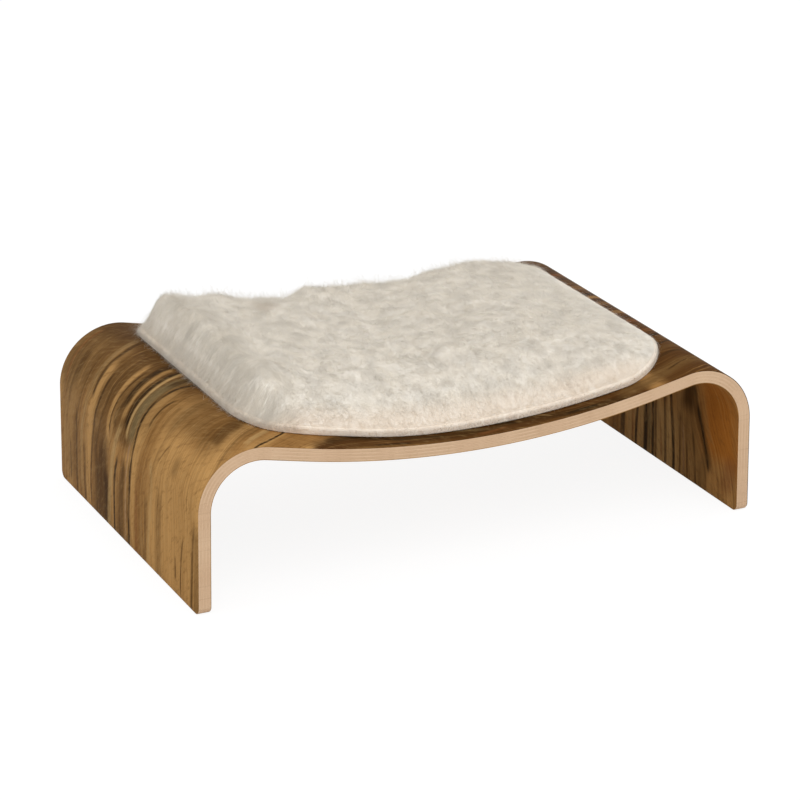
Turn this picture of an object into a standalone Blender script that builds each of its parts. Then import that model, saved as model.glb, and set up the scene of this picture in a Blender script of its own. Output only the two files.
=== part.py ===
"""Cat lounger: a bent plywood bench with a hollowed seat, and a loose long-pile pad held on by touch tape.

Metres, +Z up. The legs stand at -X and +X and the front edge faces -Y. The origin is on the floor, under the
middle of the board. Everything on the board is placed by three numbers: s, the length along the outer face
from the middle of the seat; y; and n, the height above the outer face, square to it.
"""
import math

import bmesh
import bpy
from mathutils import Vector

# The board, measured over its outer face
LENGTH = 0.530
DEPTH = 0.3415
HEIGHT = 0.1426
BEND_RADIUS = 0.0538
SHOULDER = 0.033
SEAT_SLOPE = math.radians(11.8)
LEG_SPLAY = math.radians(1.07)
FOOT_CORNER = 0.007

# The layers that it is pressed from
FACE_VENEER = 0.0006
CORE_PLY = 0.00145
CORE_PLIES = 7
GLUE_LINE = 0.00008
VENEER_ARRIS = 0.0003
VENEER_EASE = 0.0005

# The pad, laid out flat: how far it stays from the crests of the bends and from the board's long edges
PAD_END_GAP = 0.0055
PAD_EDGE_GAP = 0.02275
PAD_FRONT_CORNER = 0.064
PAD_BACK_CORNER = 0.027
PAD_SHIFT = 0.0033
BASE_CLOTH = 0.0008
FOAM = 0.005
PILE_BACKING = 0.001
BINDING_WIDTH = 0.006
BINDING_ROUND = 0.0025

# The pile over its backing, as one crowned form: the run over which each side rises to the crown, and how far
# the top is brushed to the left and to the back
PILE_EDGE = 0.006
PILE_CROWN = 0.033
PILE_RISE_LEFT = 0.040
PILE_RISE_RIGHT = 0.110
PILE_RISE_FRONT = 0.075
PILE_RISE_BACK = 0.030
PILE_SEAM_RUN = 0.020
PILE_BULGE = 0.002
PILE_SWEEP_S = -0.008
PILE_SWEEP_Y = 0.006

# Tufts and hollows of the pile: how wide and how high one of strength 1 is, then each one's place, as shares of
# the pad's length and depth from its middle, and its strength, below 0 for a hollow
TUFT_REACH = 0.013
TUFT_RISE = 0.005
TUFTS = (
    (-0.44, 0.20, 0.7), (-0.35, 0.18, -0.5), (-0.27, 0.23, -0.9), (-0.20, 0.18, 0.8), (-0.10, 0.08, 0.7),
    (-0.03, 0.15, -0.7), (0.06, 0.26, -0.6), (0.07, 0.08, 0.6), (0.15, 0.04, -0.7), (0.18, -0.08, 1.0),
    (0.31, 0.02, 0.4), (0.24, -0.30, -0.6), (0.31, -0.38, 0.4), (0.37, -0.34, -0.4), (-0.42, -0.28, 0.8),
    (-0.40, -0.15, -0.6), (-0.32, -0.25, -0.7), (-0.30, -0.34, 0.5), (-0.17, -0.17, 0.7), (-0.24, -0.04, -0.5),
    (-0.05, -0.11, 0.8), (0.04, -0.22, 0.4), (-0.13, -0.34, -0.7), (-0.26, -0.42, -0.4), (-0.40, 0.44, -0.8),
    (-0.235, 0.45, -0.9), (-0.15, 0.45, -1.5), (-0.05, 0.45, 0.4), (0.165, 0.45, -1.4), (0.26, 0.45, -0.5),
    (0.36, 0.45, 0.2), (0.42, 0.44, -0.4),
)

# Touch tape, hooks on the seat and loops on the pad
TAPE_ALONG = 0.025
TAPE_ACROSS = 0.050
TAPE_THICKNESS = 0.0009
TAPE_INSET_S = 0.038
TAPE_INSET_Y = 0.052

# Gaps between pieces that touch
CLEARANCE = 0.0003
POCKET_CLEARANCE = 0.0005

# How finely the curves are divided
BEND_STEPS = 16
SEAT_STEPS = 10
CORNER_STEPS = 6
CROWN_SHARES = (0.1, 0.25, 0.45, 0.7, 1.0)
CROWN_ROWS = 17
WALL_SHARES = (0, 0.12, 0.5)

# Lengths along the outer face, from the middle of the seat
BEND_CENTRE = Vector((LENGTH / 2 - BEND_RADIUS, HEIGHT - BEND_RADIUS))
BEND_TURN = math.pi / 2 + SEAT_SLOPE - LEG_SPLAY
SLOPE_WAY = Vector((math.cos(SEAT_SLOPE), math.sin(SEAT_SLOPE)))
SLOPE_NORMAL = Vector((-math.sin(SEAT_SLOPE), math.cos(SEAT_SLOPE)))
SEAT_EDGE = BEND_CENTRE + BEND_RADIUS * SLOPE_NORMAL - SHOULDER * SLOPE_WAY
SEAT_RADIUS = SEAT_EDGE.x / math.sin(SEAT_SLOPE)
SEAT_LOW = SEAT_EDGE.y - SEAT_RADIUS * (1 - math.cos(SEAT_SLOPE))
S_SHOULDER = SEAT_RADIUS * SEAT_SLOPE
S_BEND = S_SHOULDER + SHOULDER
S_CREST = S_BEND + BEND_RADIUS * SEAT_SLOPE
S_LEG = S_BEND + BEND_RADIUS * BEND_TURN
PAD_LENGTH = 2 * (S_CREST - PAD_END_GAP)
PAD_DEPTH = DEPTH - 2 * PAD_EDGE_GAP

# Heights above the outer face
BASE_BOTTOM = CLEARANCE
FOAM_BOTTOM = BASE_BOTTOM + BASE_CLOTH + CLEARANCE
PILE_BOTTOM = FOAM_BOTTOM + FOAM + CLEARANCE
RIM_TOP = PILE_BOTTOM + PILE_BACKING
HOOK_BOTTOM = CLEARANCE
LOOP_BOTTOM = HOOK_BOTTOM + TAPE_THICKNESS + CLEARANCE
POCKET_TOP = LOOP_BOTTOM + TAPE_THICKNESS + CLEARANCE


def board_curve(s):
    """Point (x, z) and outward normal of the outer face at length s, on either side of the middle."""
    side = -1 if s < 0 else 1
    s = abs(s)
    if s <= S_SHOULDER:
        turn = s / SEAT_RADIUS
        point = Vector((SEAT_RADIUS * math.sin(turn), SEAT_LOW + SEAT_RADIUS * (1 - math.cos(turn))))
        normal = Vector((-math.sin(turn), math.cos(turn)))
    elif s <= S_BEND:
        point = SEAT_EDGE + (s - S_SHOULDER) * SLOPE_WAY
        normal = SLOPE_NORMAL
    else:
        turn = min((s - S_BEND) / BEND_RADIUS, BEND_TURN) - SEAT_SLOPE
        normal = Vector((math.sin(turn), math.cos(turn)))
        leg_run = max(s - S_LEG, 0)
        point = BEND_CENTRE + BEND_RADIUS * normal
        point += leg_run * Vector((math.sin(LEG_SPLAY), -math.cos(LEG_SPLAY)))
    return Vector((side * point.x, point.y)), Vector((side * normal.x, normal.y))


def on_board(s, y, n):
    """World point at length s, depth y and height n above the outer face."""
    point, normal = board_curve(s)
    return Vector((point.x + n * normal.x, y, point.y + n * normal.y))


def length_to_floor(n, lift):
    """Length s at which the leg's surface at height n comes down to lift above the floor."""
    return S_LEG + (on_board(S_LEG, 0, n).z - lift) / math.cos(LEG_SPLAY)


def half_stations():
    """Lengths, from the middle out, at which the curves are divided, for the board and all that lies on it."""
    seat = [S_SHOULDER * k / SEAT_STEPS for k in range(1, SEAT_STEPS + 1)]
    bend = [S_BEND + BEND_RADIUS * BEND_TURN * k / BEND_STEPS for k in range(BEND_STEPS + 1)]
    return seat + bend


def plain_material(name, colour, roughness):
    """Principled material of one colour."""
    material = bpy.data.materials.new(name)
    material.use_nodes = True
    shader = material.node_tree.nodes["Principled BSDF"]
    shader.inputs["Base Color"].default_value = (*colour, 1)
    shader.inputs["Roughness"].default_value = roughness
    shader.inputs["Metallic"].default_value = 0
    return material


def finish(name, bm, material):
    """Makes a named object of the mesh, with its faces pointing out and its curves shaded smooth."""
    bmesh.ops.recalc_face_normals(bm, faces=bm.faces)
    mesh = bpy.data.meshes.new(name)
    bm.to_mesh(mesh)
    bm.free()
    mesh.shade_smooth()
    mesh.set_sharp_from_angle(angle=math.radians(30))
    mesh.materials.append(material)
    piece = bpy.data.objects.new(name, mesh)
    bpy.context.scene.collection.objects.link(piece)
    return piece


def board_layer(name, top, thickness, material, lift=0, top_arris=0, low_arris=0):
    """One layer of the board: its section in y and n, swept from foot to foot, with the feet's corners round."""
    low = top - thickness
    section = [(top_arris, top)]
    if top_arris:
        section.append((0, top - top_arris))
    if low_arris:
        section.append((0, low + low_arris))
    section.append((low_arris, low))
    bm = bmesh.new()

    def ring(place, inset):
        back = [on_board(place(n), DEPTH / 2 - inset - arris, n) for arris, n in section]
        front = [Vector((p.x, -p.y, p.z)) for p in reversed(back)]
        return [bm.verts.new(p) for p in back + front]

    def foot_rings(side):
        turns = [math.pi / 2 * k / CORNER_STEPS for k in range(CORNER_STEPS + 1)]
        for turn in turns:
            height = lift + FOOT_CORNER * (1 - math.cos(turn))
            inset = FOOT_CORNER * (1 - math.sin(turn))
            yield ring(lambda n: side * length_to_floor(n, height), inset)

    rings = list(foot_rings(-1))
    for s in [-s for s in reversed(half_stations())] + [0.0] + half_stations():
        rings.append(ring(lambda n: s, 0))
    rings += reversed(list(foot_rings(1)))
    for before, after in zip(rings, rings[1:]):
        for k, corner in enumerate(before):
            bm.faces.new((before[k - 1], corner, after[k], after[k - 1]))
    bm.faces.new(rings[0])
    bm.faces.new(rings[-1])
    return finish(name, bm, material)


def make_board(veneer, ply):
    """Face veneers with the core plies between them, each a glue line from the next."""
    board_layer("outer_face_veneer", 0, FACE_VENEER, veneer, lift=VENEER_EASE, top_arris=VENEER_ARRIS)
    top = -FACE_VENEER - GLUE_LINE
    for number in range(1, CORE_PLIES + 1):
        board_layer(f"core_ply_{number}", top, CORE_PLY, ply)
        top -= CORE_PLY + GLUE_LINE
    board_layer("inner_face_veneer", top, FACE_VENEER, veneer, lift=VENEER_EASE, low_arris=VENEER_ARRIS)


def corner_radius(y):
    """Radius of the pad's two corners on the side of y: wide at the front, tight at the back."""
    return PAD_FRONT_CORNER if y < 0 else PAD_BACK_CORNER


def edge_distance(s, y, inset):
    """Distance inwards from the edge of the pad's outline, drawn in by inset, at a point of the flat pad."""
    corner = corner_radius(y)
    along = abs(s - PAD_SHIFT) - (PAD_LENGTH / 2 - corner)
    across = abs(y) - (PAD_DEPTH / 2 - corner)
    outside = math.hypot(max(along, 0), max(across, 0))
    return corner - inset - outside - min(max(along, across), 0)


def divide(bm, axis, places):
    """Cuts the flat mesh across at each place along one axis."""
    normal = Vector((0, 0, 0))
    normal[axis] = 1
    for place in places:
        parts = bm.verts[:] + bm.edges[:] + bm.faces[:]
        bmesh.ops.bisect_plane(bm, geom=parts, dist=1e-6, plane_co=normal * place, plane_no=normal)


def flat_slab(centre_s, centre_y, along, across, low, high, corners=(0, 0)):
    """Flat slab in s, y and n, its front and back corners round, divided along s wherever the board's faces are."""
    bm = bmesh.new()
    bmesh.ops.create_cube(bm, size=1)
    bmesh.ops.scale(bm, vec=(along, across, high - low), verts=bm.verts)
    bmesh.ops.translate(bm, vec=(centre_s, centre_y, (low + high) / 2), verts=bm.verts)
    upright = [e for e in bm.edges if (e.verts[0].co.xy - e.verts[1].co.xy).length < CLEARANCE]
    for side, corner in zip((-1, 1), corners):
        if corner:
            edges = [e for e in upright if e.is_valid and side * (e.verts[0].co.y - centre_y) > 0]
            bmesh.ops.bevel(bm, geom=edges, offset=corner, segments=CORNER_STEPS, profile=0.5, affect="EDGES")
    inside = [s for s in half_stations() if s < S_LEG]
    divide(bm, 0, [-s for s in inside] + [0.0] + inside)
    return bm


def wrap(bm):
    """Lays a flat mesh of s, y and n on the board."""
    for vert in bm.verts:
        vert.co = on_board(*vert.co)


def pad_slab(inset, low, high):
    """Flat slab with the pad's outline, drawn in by inset."""
    along = PAD_LENGTH - 2 * inset
    across = PAD_DEPTH - 2 * inset
    corners = (PAD_FRONT_CORNER - inset, PAD_BACK_CORNER - inset)
    return flat_slab(PAD_SHIFT, 0, along, across, low, high, corners)


def tape_places():
    """Middle of each patch of touch tape, in s and y."""
    reach_s = PAD_LENGTH / 2 - TAPE_INSET_S
    reach_y = PAD_DEPTH / 2 - TAPE_INSET_Y
    return [(PAD_SHIFT + i * reach_s, j * reach_y) for i in (-1, 1) for j in (-1, 1)]


def tape_slab(place, low, high):
    """Slab of one patch of tape, laid on the board."""
    bm = flat_slab(*place, TAPE_ALONG, TAPE_ACROSS, low, high)
    wrap(bm)
    return bm


def faces_over_tape(bm, place):
    """Upper and lower faces of a flat slab that lie over one patch of tape, cut to the patch's clearance."""
    half_s = TAPE_ALONG / 2 + POCKET_CLEARANCE
    half_y = TAPE_ACROSS / 2 + POCKET_CLEARANCE
    divide(bm, 0, [place[0] - half_s, place[0] + half_s])
    divide(bm, 1, [place[1] - half_y, place[1] + half_y])
    bm.normal_update()
    upper, lower = [], []
    for face in bm.faces:
        middle = face.calc_center_median()
        if abs(middle.x - place[0]) < half_s and abs(middle.y - place[1]) < half_y:
            (upper if face.normal.z > 0 else lower).append(face)
    return upper, lower


def open_window(bm, place, thickness):
    """Cuts a window right through a flat slab round one patch of tape."""
    upper, lower = faces_over_tape(bm, place)
    bmesh.ops.delete(bm, geom=upper + lower, context="FACES")
    rim = [e for e in bm.edges if e.is_boundary]
    low = min(v.co.z for e in rim for v in e.verts)
    lower_rim = [e for e in rim if all(v.co.z < low + thickness / 2 for v in e.verts)]
    wall = bmesh.ops.extrude_edge_only(bm, edges=lower_rim)
    raised = [v for v in wall["geom"] if isinstance(v, bmesh.types.BMVert)]
    bmesh.ops.translate(bm, vec=(0, 0, thickness), verts=raised)
    bmesh.ops.remove_doubles(bm, verts=bm.verts, dist=CLEARANCE / 100)


def sink_pocket(bm, place, depth):
    """Raises the underside of a flat slab by depth over one patch of tape."""
    lower = faces_over_tape(bm, place)[1]
    raised = bmesh.ops.extrude_face_region(bm, geom=lower, use_keep_orig=True)
    ceiling = [v for v in raised["geom"] if isinstance(v, bmesh.types.BMVert)]
    bmesh.ops.translate(bm, vec=(0, 0, depth), verts=ceiling)
    bmesh.ops.delete(bm, geom=lower, context="FACES")


def make_tape(hook_nylon, loop_knit):
    """Hook patches stuck on the seat, and the loop patches that grip them from the pad's underside."""
    for number, place in enumerate(tape_places(), start=1):
        hooks = tape_slab(place, HOOK_BOTTOM, HOOK_BOTTOM + TAPE_THICKNESS)
        loops = tape_slab(place, LOOP_BOTTOM, LOOP_BOTTOM + TAPE_THICKNESS)
        finish(f"hook_patch_{number}", hooks, hook_nylon)
        finish(f"loop_patch_{number}", loops, loop_knit)


def make_pad_core(cloth, foam):
    """Base cloth with a window round each patch of tape, and foam with a pocket over it."""
    inset = BINDING_WIDTH + CLEARANCE
    base = pad_slab(inset, BASE_BOTTOM, BASE_BOTTOM + BASE_CLOTH)
    filling = pad_slab(inset, FOAM_BOTTOM, FOAM_BOTTOM + FOAM)
    for place in tape_places():
        open_window(base, place, BASE_CLOTH)
        sink_pocket(filling, place, POCKET_TOP - FOAM_BOTTOM)
    wrap(base)
    wrap(filling)
    finish("pad_base_cloth", base, cloth)
    finish("pad_foam", filling, foam)


def outline(inset):
    """Points in s and y round the pad's outline, drawn in by inset, with one at each division of the board."""
    stations = [-s for s in reversed(half_stations())] + [0.0] + half_stations()
    points = []
    for side_s, side_y, first in ((1, -1, -90), (1, 1, 0), (-1, 1, 90), (-1, -1, 180)):
        corner = corner_radius(side_y)
        reach_s = PAD_LENGTH / 2 - corner
        reach_y = PAD_DEPTH / 2 - corner
        for k in range(CORNER_STEPS + 1):
            turn = math.radians(first + 90 * k / CORNER_STEPS)
            points.append((PAD_SHIFT + side_s * reach_s + (corner - inset) * math.cos(turn),
                           side_y * reach_y + (corner - inset) * math.sin(turn)))
        if side_s == side_y:
            run = [s for s in stations if abs(s - PAD_SHIFT) < reach_s - CLEARANCE]
            edge = side_y * (PAD_DEPTH / 2 - inset)
            points += [(s, edge) for s in (reversed(run) if side_y > 0 else run)]
    return points


def make_binding(tape):
    """Edge binding: a soft ring with a round outer side that closes the pad's layers in all round."""
    low = BASE_BOTTOM
    section = [(BINDING_WIDTH, low), (BINDING_ROUND, low)]
    middle = (low + RIM_TOP) / 2
    half = (RIM_TOP - low) / 2
    for k in range(1, CORNER_STEPS):
        turn = math.pi * k / CORNER_STEPS
        section.append((BINDING_ROUND * (1 - math.sin(turn)), middle - half * math.cos(turn)))
    section += [(BINDING_ROUND, RIM_TOP), (BINDING_WIDTH, RIM_TOP)]
    bm = bmesh.new()
    loops = []
    for inset, n in section:
        loops.append([bm.verts.new(on_board(s, y, n)) for s, y in outline(inset)])
    for k, upper in enumerate(loops):
        lower = loops[k - 1]
        for j, vert in enumerate(upper):
            bm.faces.new((lower[j - 1], lower[j], vert, upper[j - 1]))
    return finish("pad_edge_binding", bm, tape)


def swell(inward, run):
    """Share of the full height, from 0 at the edge to 1 where the run inward from it ends."""
    return 1 - (1 - min(max(inward / run, 0), 1)) ** 2


def tufts(s, y):
    """Height that the tufts and hollows add to the pile at a point."""
    total = 0
    for along, across, strength in TUFTS:
        away = math.hypot(s - PAD_SHIFT - along * PAD_LENGTH, y - across * PAD_DEPTH)
        total += strength * math.exp(-(away / TUFT_REACH) ** 2 / 2)
    return TUFT_RISE * total


def join_strips(bm, low):
    """Joins the cells of the flat underside into strips across the pad."""
    under = [e for e in bm.edges if len(e.link_faces) == 2 and all(v.co.z < low + CLEARANCE / 3 for v in e.verts)]
    inner = [e for e in under if all(abs(f.normal.z) > 0.5 for f in e.link_faces)]
    along = [e for e in inner if abs(e.verts[0].co.y - e.verts[1].co.y) < CLEARANCE / 100]
    bmesh.ops.dissolve_edges(bm, edges=along, use_verts=True)


def make_pile(fur):
    """Long-pile top: its backing within the binding, and the pile as a tufted crown drawn in to the seam at its
    sides."""
    inset = BINDING_WIDTH + CLEARANCE
    top = RIM_TOP + PILE_EDGE
    bm = pad_slab(inset, PILE_BOTTOM, top)
    half_width = PAD_DEPTH / 2 - inset
    left, right = PAD_SHIFT - PAD_LENGTH / 2 + inset, PAD_SHIFT + PAD_LENGTH / 2 - inset
    divide(bm, 0, [left + share * PILE_RISE_LEFT for share in CROWN_SHARES])
    divide(bm, 0, [right - share * PILE_RISE_RIGHT for share in CROWN_SHARES])
    first = CROWN_SHARES[0] * PILE_RISE_FRONT - half_width
    last = half_width - CROWN_SHARES[0] * PILE_RISE_BACK
    divide(bm, 1, [first + (last - first) * k / CROWN_ROWS for k in range(CROWN_ROWS + 1)])
    divide(bm, 1, [half_width - CROWN_SHARES[1] * PILE_RISE_BACK])
    divide(bm, 2, [RIM_TOP + share * PILE_EDGE for share in WALL_SHARES])
    bm.normal_update()
    join_strips(bm, PILE_BOTTOM)
    for vert in bm.verts:
        s, y, n = vert.co
        level = min(max((n - RIM_TOP) / PILE_EDGE, 0), 1)
        if n > top - CLEARANCE:
            rise = swell(s - left, PILE_RISE_LEFT) * swell(right - s, PILE_RISE_RIGHT)
            rise *= swell(half_width + y, PILE_RISE_FRONT) * swell(half_width - y, PILE_RISE_BACK)
            rise *= swell(edge_distance(s, y, inset), PILE_SEAM_RUN)
            vert.co.z += (PILE_CROWN - PILE_EDGE) * rise + tufts(s + PILE_SWEEP_S, y + PILE_SWEEP_Y) * rise
        bulge = 1 + PILE_BULGE * math.sin(math.pi * level) / half_width
        lean = max(vert.co.z - RIM_TOP, 0) / PILE_CROWN
        vert.co.x = PAD_SHIFT + (s - PAD_SHIFT) * bulge + PILE_SWEEP_S * lean
        vert.co.y = y * bulge + PILE_SWEEP_Y * lean
    wrap(bm)
    return finish("long_pile_top", bm, fur)


def make_lounger():
    for old in list(bpy.data.objects):
        bpy.data.objects.remove(old, do_unlink=True)
    make_board(plain_material("figured_veneer", (0.23, 0.12, 0.05), 0.45),
               plain_material("pale_ply", (0.62, 0.43, 0.28), 0.55))
    make_tape(plain_material("hook_nylon", (0.60, 0.57, 0.52), 0.7),
              plain_material("loop_knit", (0.70, 0.66, 0.60), 0.95))
    make_pad_core(plain_material("base_cloth", (0.66, 0.60, 0.53), 0.9),
                  plain_material("foam", (0.80, 0.76, 0.66), 0.95))
    make_binding(plain_material("binding", (0.80, 0.71, 0.62), 0.85))
    make_pile(plain_material("long_pile", (0.66, 0.62, 0.54), 0.95))


make_lounger()
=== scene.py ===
"""Looks of the cat lounger: figured veneer on a bent board, ply edges, and a loose long-pile pad.

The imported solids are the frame. Each layer of the board and each layer of the pad is made flat, as it is cut,
and is then laid on the board's curve, so its flat places (along, across) also steer grain, weave and pile.
Metres, +Z up, front edge at -Y.
"""
import math

import bmesh
import bpy
import numpy as np
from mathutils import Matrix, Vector


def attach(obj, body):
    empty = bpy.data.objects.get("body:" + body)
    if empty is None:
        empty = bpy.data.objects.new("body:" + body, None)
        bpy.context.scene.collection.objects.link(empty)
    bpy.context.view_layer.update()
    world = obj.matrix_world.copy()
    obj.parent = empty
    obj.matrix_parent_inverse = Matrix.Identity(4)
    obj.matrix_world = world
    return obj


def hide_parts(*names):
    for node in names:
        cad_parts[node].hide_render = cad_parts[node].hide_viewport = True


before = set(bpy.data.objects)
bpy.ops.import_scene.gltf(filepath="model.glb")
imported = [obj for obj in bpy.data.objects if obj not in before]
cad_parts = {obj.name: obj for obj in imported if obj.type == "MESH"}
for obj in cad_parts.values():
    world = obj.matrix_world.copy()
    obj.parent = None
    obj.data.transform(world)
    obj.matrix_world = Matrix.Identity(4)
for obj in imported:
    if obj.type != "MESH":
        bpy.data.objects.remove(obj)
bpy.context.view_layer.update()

# The board's curve, as in the part
LENGTH = 0.530
DEPTH = 0.3415
HEIGHT = 0.1426
BEND_RADIUS = 0.0538
SHOULDER = 0.033
SEAT_SLOPE = math.radians(11.8)
LEG_SPLAY = math.radians(1.07)
FOOT_CORNER = 0.007
FACE_VENEER = 0.0006
CORE_PLY = 0.00145
CORE_PLIES = 7
GLUE_LINE = 0.00008
# The face veneers end this far over the floor
VENEER_EASE = 0.0005

# The pad, as in the part
PAD_END_GAP = 0.0055
PAD_EDGE_GAP = 0.02275
PAD_FRONT_CORNER = 0.064
PAD_BACK_CORNER = 0.027
PAD_SHIFT = 0.0033
BASE_CLOTH = 0.0008
FOAM = 0.005
PILE_BACKING = 0.001
BINDING_WIDTH = 0.006
TAPE_ALONG = 0.025
TAPE_ACROSS = 0.050
TAPE_THICKNESS = 0.0009
TAPE_INSET_S = 0.038
TAPE_INSET_Y = 0.052
CLEARANCE = 0.0003
POCKET_CLEARANCE = 0.0005
POCKET_HALF = (TAPE_ALONG / 2 + POCKET_CLEARANCE, TAPE_ACROSS / 2 + POCKET_CLEARANCE)

BEND_CENTRE = (LENGTH / 2 - BEND_RADIUS, HEIGHT - BEND_RADIUS)
BEND_TURN = math.pi / 2 + SEAT_SLOPE - LEG_SPLAY
SEAT_EDGE = (BEND_CENTRE[0] - BEND_RADIUS * math.sin(SEAT_SLOPE) - SHOULDER * math.cos(SEAT_SLOPE),
             BEND_CENTRE[1] + BEND_RADIUS * math.cos(SEAT_SLOPE) - SHOULDER * math.sin(SEAT_SLOPE))
SEAT_RADIUS = SEAT_EDGE[0] / math.sin(SEAT_SLOPE)
SEAT_LOW = SEAT_EDGE[1] - SEAT_RADIUS * (1 - math.cos(SEAT_SLOPE))
S_SHOULDER = SEAT_RADIUS * SEAT_SLOPE
S_BEND = S_SHOULDER + SHOULDER
S_CREST = S_BEND + BEND_RADIUS * SEAT_SLOPE
S_LEG = S_BEND + BEND_RADIUS * BEND_TURN
PAD_LENGTH = 2 * (S_CREST - PAD_END_GAP)
PAD_DEPTH = DEPTH - 2 * PAD_EDGE_GAP

BASE_BOTTOM = CLEARANCE
FOAM_BOTTOM = BASE_BOTTOM + BASE_CLOTH + CLEARANCE
PILE_BOTTOM = FOAM_BOTTOM + FOAM + CLEARANCE
RIM_TOP = PILE_BOTTOM + PILE_BACKING
HOOK_BOTTOM = CLEARANCE
LOOP_BOTTOM = HOOK_BOTTOM + TAPE_THICKNESS + CLEARANCE
POCKET_TOP = LOOP_BOTTOM + TAPE_THICKNESS + CLEARANCE

# How finely the curves are divided
SEAT_STEPS = 28
SHOULDER_STEPS = 3
BEND_STEPS = 40
LEG_STEPS = 6

# The pile: the crown of its dense coat over the rim, and the run over which each side rises to it
COAT_CROWN = 0.0335
PILE_LEFT = 0.022
PILE_RIGHT = 0.125
PILE_FRONT = 0.075
PILE_BACK = 0.013
PILE_SEAM_RUN = 0.005
PILE_CORNER_RUN = 0.7
COAT_INSET = 0.0026
COAT_STEP = 0.004

# Tufts and hollows of the pile, as in the part: each one's place, as shares of the pad's length and depth from
# its middle, and its strength, below 0 for a hollow
TUFT_REACH = 0.013
TUFT_RISE = 0.005
TUFTS = (
    (-0.44, 0.20, 0.7), (-0.35, 0.18, -0.5), (-0.27, 0.23, -0.9), (-0.20, 0.18, 0.8), (-0.10, 0.08, 0.7),
    (-0.03, 0.15, -0.7), (0.06, 0.26, -0.6), (0.07, 0.08, 0.6), (0.15, 0.04, -0.7), (0.18, -0.08, 1.0),
    (0.31, 0.02, 0.4), (0.24, -0.30, -0.6), (0.31, -0.38, 0.4), (0.37, -0.34, -0.4), (-0.42, -0.28, 0.8),
    (-0.40, -0.15, -0.6), (-0.32, -0.25, -0.7), (-0.30, -0.34, 0.5), (-0.17, -0.17, 0.7), (-0.24, -0.04, -0.5),
    (-0.05, -0.11, 0.8), (0.04, -0.22, 0.4), (-0.13, -0.34, -0.7), (-0.26, -0.42, -0.4), (-0.40, 0.44, -0.8),
    (-0.235, 0.45, -0.9), (-0.15, 0.45, -1.5), (-0.05, 0.45, 0.4), (0.165, 0.45, -1.4), (0.26, 0.45, -0.5),
    (0.36, 0.45, 0.2), (0.42, 0.44, -0.4),
)
# Finer ones, of the visible pile alone, and its small ripples: height, size and seed of each
FINE_REACH = 0.009
FINE_TUFTS = ((-0.105, 0.45, 1.0), (0.105, 0.45, -0.9))
RIPPLES = ((0.0015, 0.018, 5), (0.0006, 0.009, 8))

# The hairs: fine ones that lie along the coat all over, longer guard hairs that stand out of it, and wisps that
# sweep over the left flank. Each kind has its count, width, points along a hair, run along the coat, lift out of it,
# scatter of ways in radians, how far it is drawn to its lock, its lock's size, how far right it grows as a share of
# the pad's length from its middle, and its tones where they aren't 0 to 1.
HAIR_KINDS = {
    "fine_hairs": dict(count=160000, width=0.00026, points=3, run=(0.005, 0.011), lift=(0.0004, 0.0036),
                       scatter=0.9, drawn=(0.0, 0.25), lock=0.015, until=0.52),
    "guard_hairs": dict(count=30000, width=0.00013, points=4, run=(0.006, 0.016), lift=(0.0020, 0.0100),
                        scatter=1.3, drawn=(0.0, 0.25), lock=0.015, until=0.52),
    "left_wisps": dict(count=3000, width=0.00022, points=5, run=(0.008, 0.017), lift=(0.0010, 0.0034),
                       scatter=0.5, drawn=(0.35, 0.85), lock=0.006, until=-0.425, tones=(0.8, 1.6)),
}
# The flanks where the pile is longer and fuller: where each begins, and the run over which it grows
LEFT_FLANK = (-0.150, 0.030)
BACK_FLANK = (0.105, 0.030)
LONGER_LEFT = 0.7
# The run inwards from the rim over which hairs come to stand up, and the sway of a hair to the side of its way
STAND_UP_RUN = 0.016
SWAY = 0.10
# How long and how wide a hair lies on the flat map, in millimetres
HAIR_ON_MAP = (2.0, 0.5)

# Rounding of the binding's outer edges, above and below
BINDING_ROUND = 0.0030
BINDING_FOOT = 0.0012

# How the pad's front edge lies, from DRAWN_IN_FROM forwards: drawn in at the left, by how much, about which place
# and over what length, and pushed out between two places, each with the run over which that grows or ends
DRAWN_IN = 0.012
DRAWN_IN_AT = -0.145
DRAWN_IN_SPREAD = 0.038
DRAWN_IN_FROM = 0.122
PUSHED_OUT = 0.004
PUSHED_FROM = (-0.19, 0.06)
PUSHED_TO = (0.205, 0.05)

# How far the hairs may reach down over the binding, and the level over the floor up to which one may rise over its
# own root
RIM_REACH = 0.0058
HAIRS_TOP = 0.1858


def srgb(red, green, blue):
    """Linear colour of an sRGB tone given in 0 to 255."""
    parts = [c / 255 for c in (red, green, blue)]
    return tuple(c / 12.92 if c <= 0.04045 else ((c + 0.055) / 1.055) ** 2.4 for c in parts)


# Tones of the veneer
GOLD = srgb(192, 147, 90)
STRAW = srgb(182, 148, 98)
HONEY = srgb(148, 106, 58)
AMBER = srgb(160, 98, 36)
BROWN = srgb(112, 82, 46)
COCOA = srgb(84, 56, 26)
TOBACCO = srgb(76, 45, 17)
UMBER = srgb(60, 38, 15)
INK = srgb(32, 21, 10)
OLIVE = srgb(116, 98, 66)
RUST = srgb(124, 76, 40)
BLUSH = srgb(154, 120, 90)

# Tones of the pile, among them painted reflected light, painted rim light and painted shade
PILE_LIGHT = srgb(246, 243, 236)
PILE_CREAM = srgb(244, 239, 230)
PILE_GREY = srgb(232, 227, 218)
# Painted reflection: light from the wood tinting the pile pink along the front
PILE_PAINTED_REFLECTION = srgb(241, 231, 218)
# Painted light on the pad's front rim, lighter and warmer than the pile
PILE_RIM_PAINTED_LIGHT = srgb(250, 236, 219)
# Painted shade of the pile, for its left flank and one hollow
PILE_PAINTED_SHADE = srgb(226, 218, 206)
BINDING_CREAM = srgb(248, 237, 222)
BINDING_SHADE = srgb(243, 230, 215)

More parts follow.
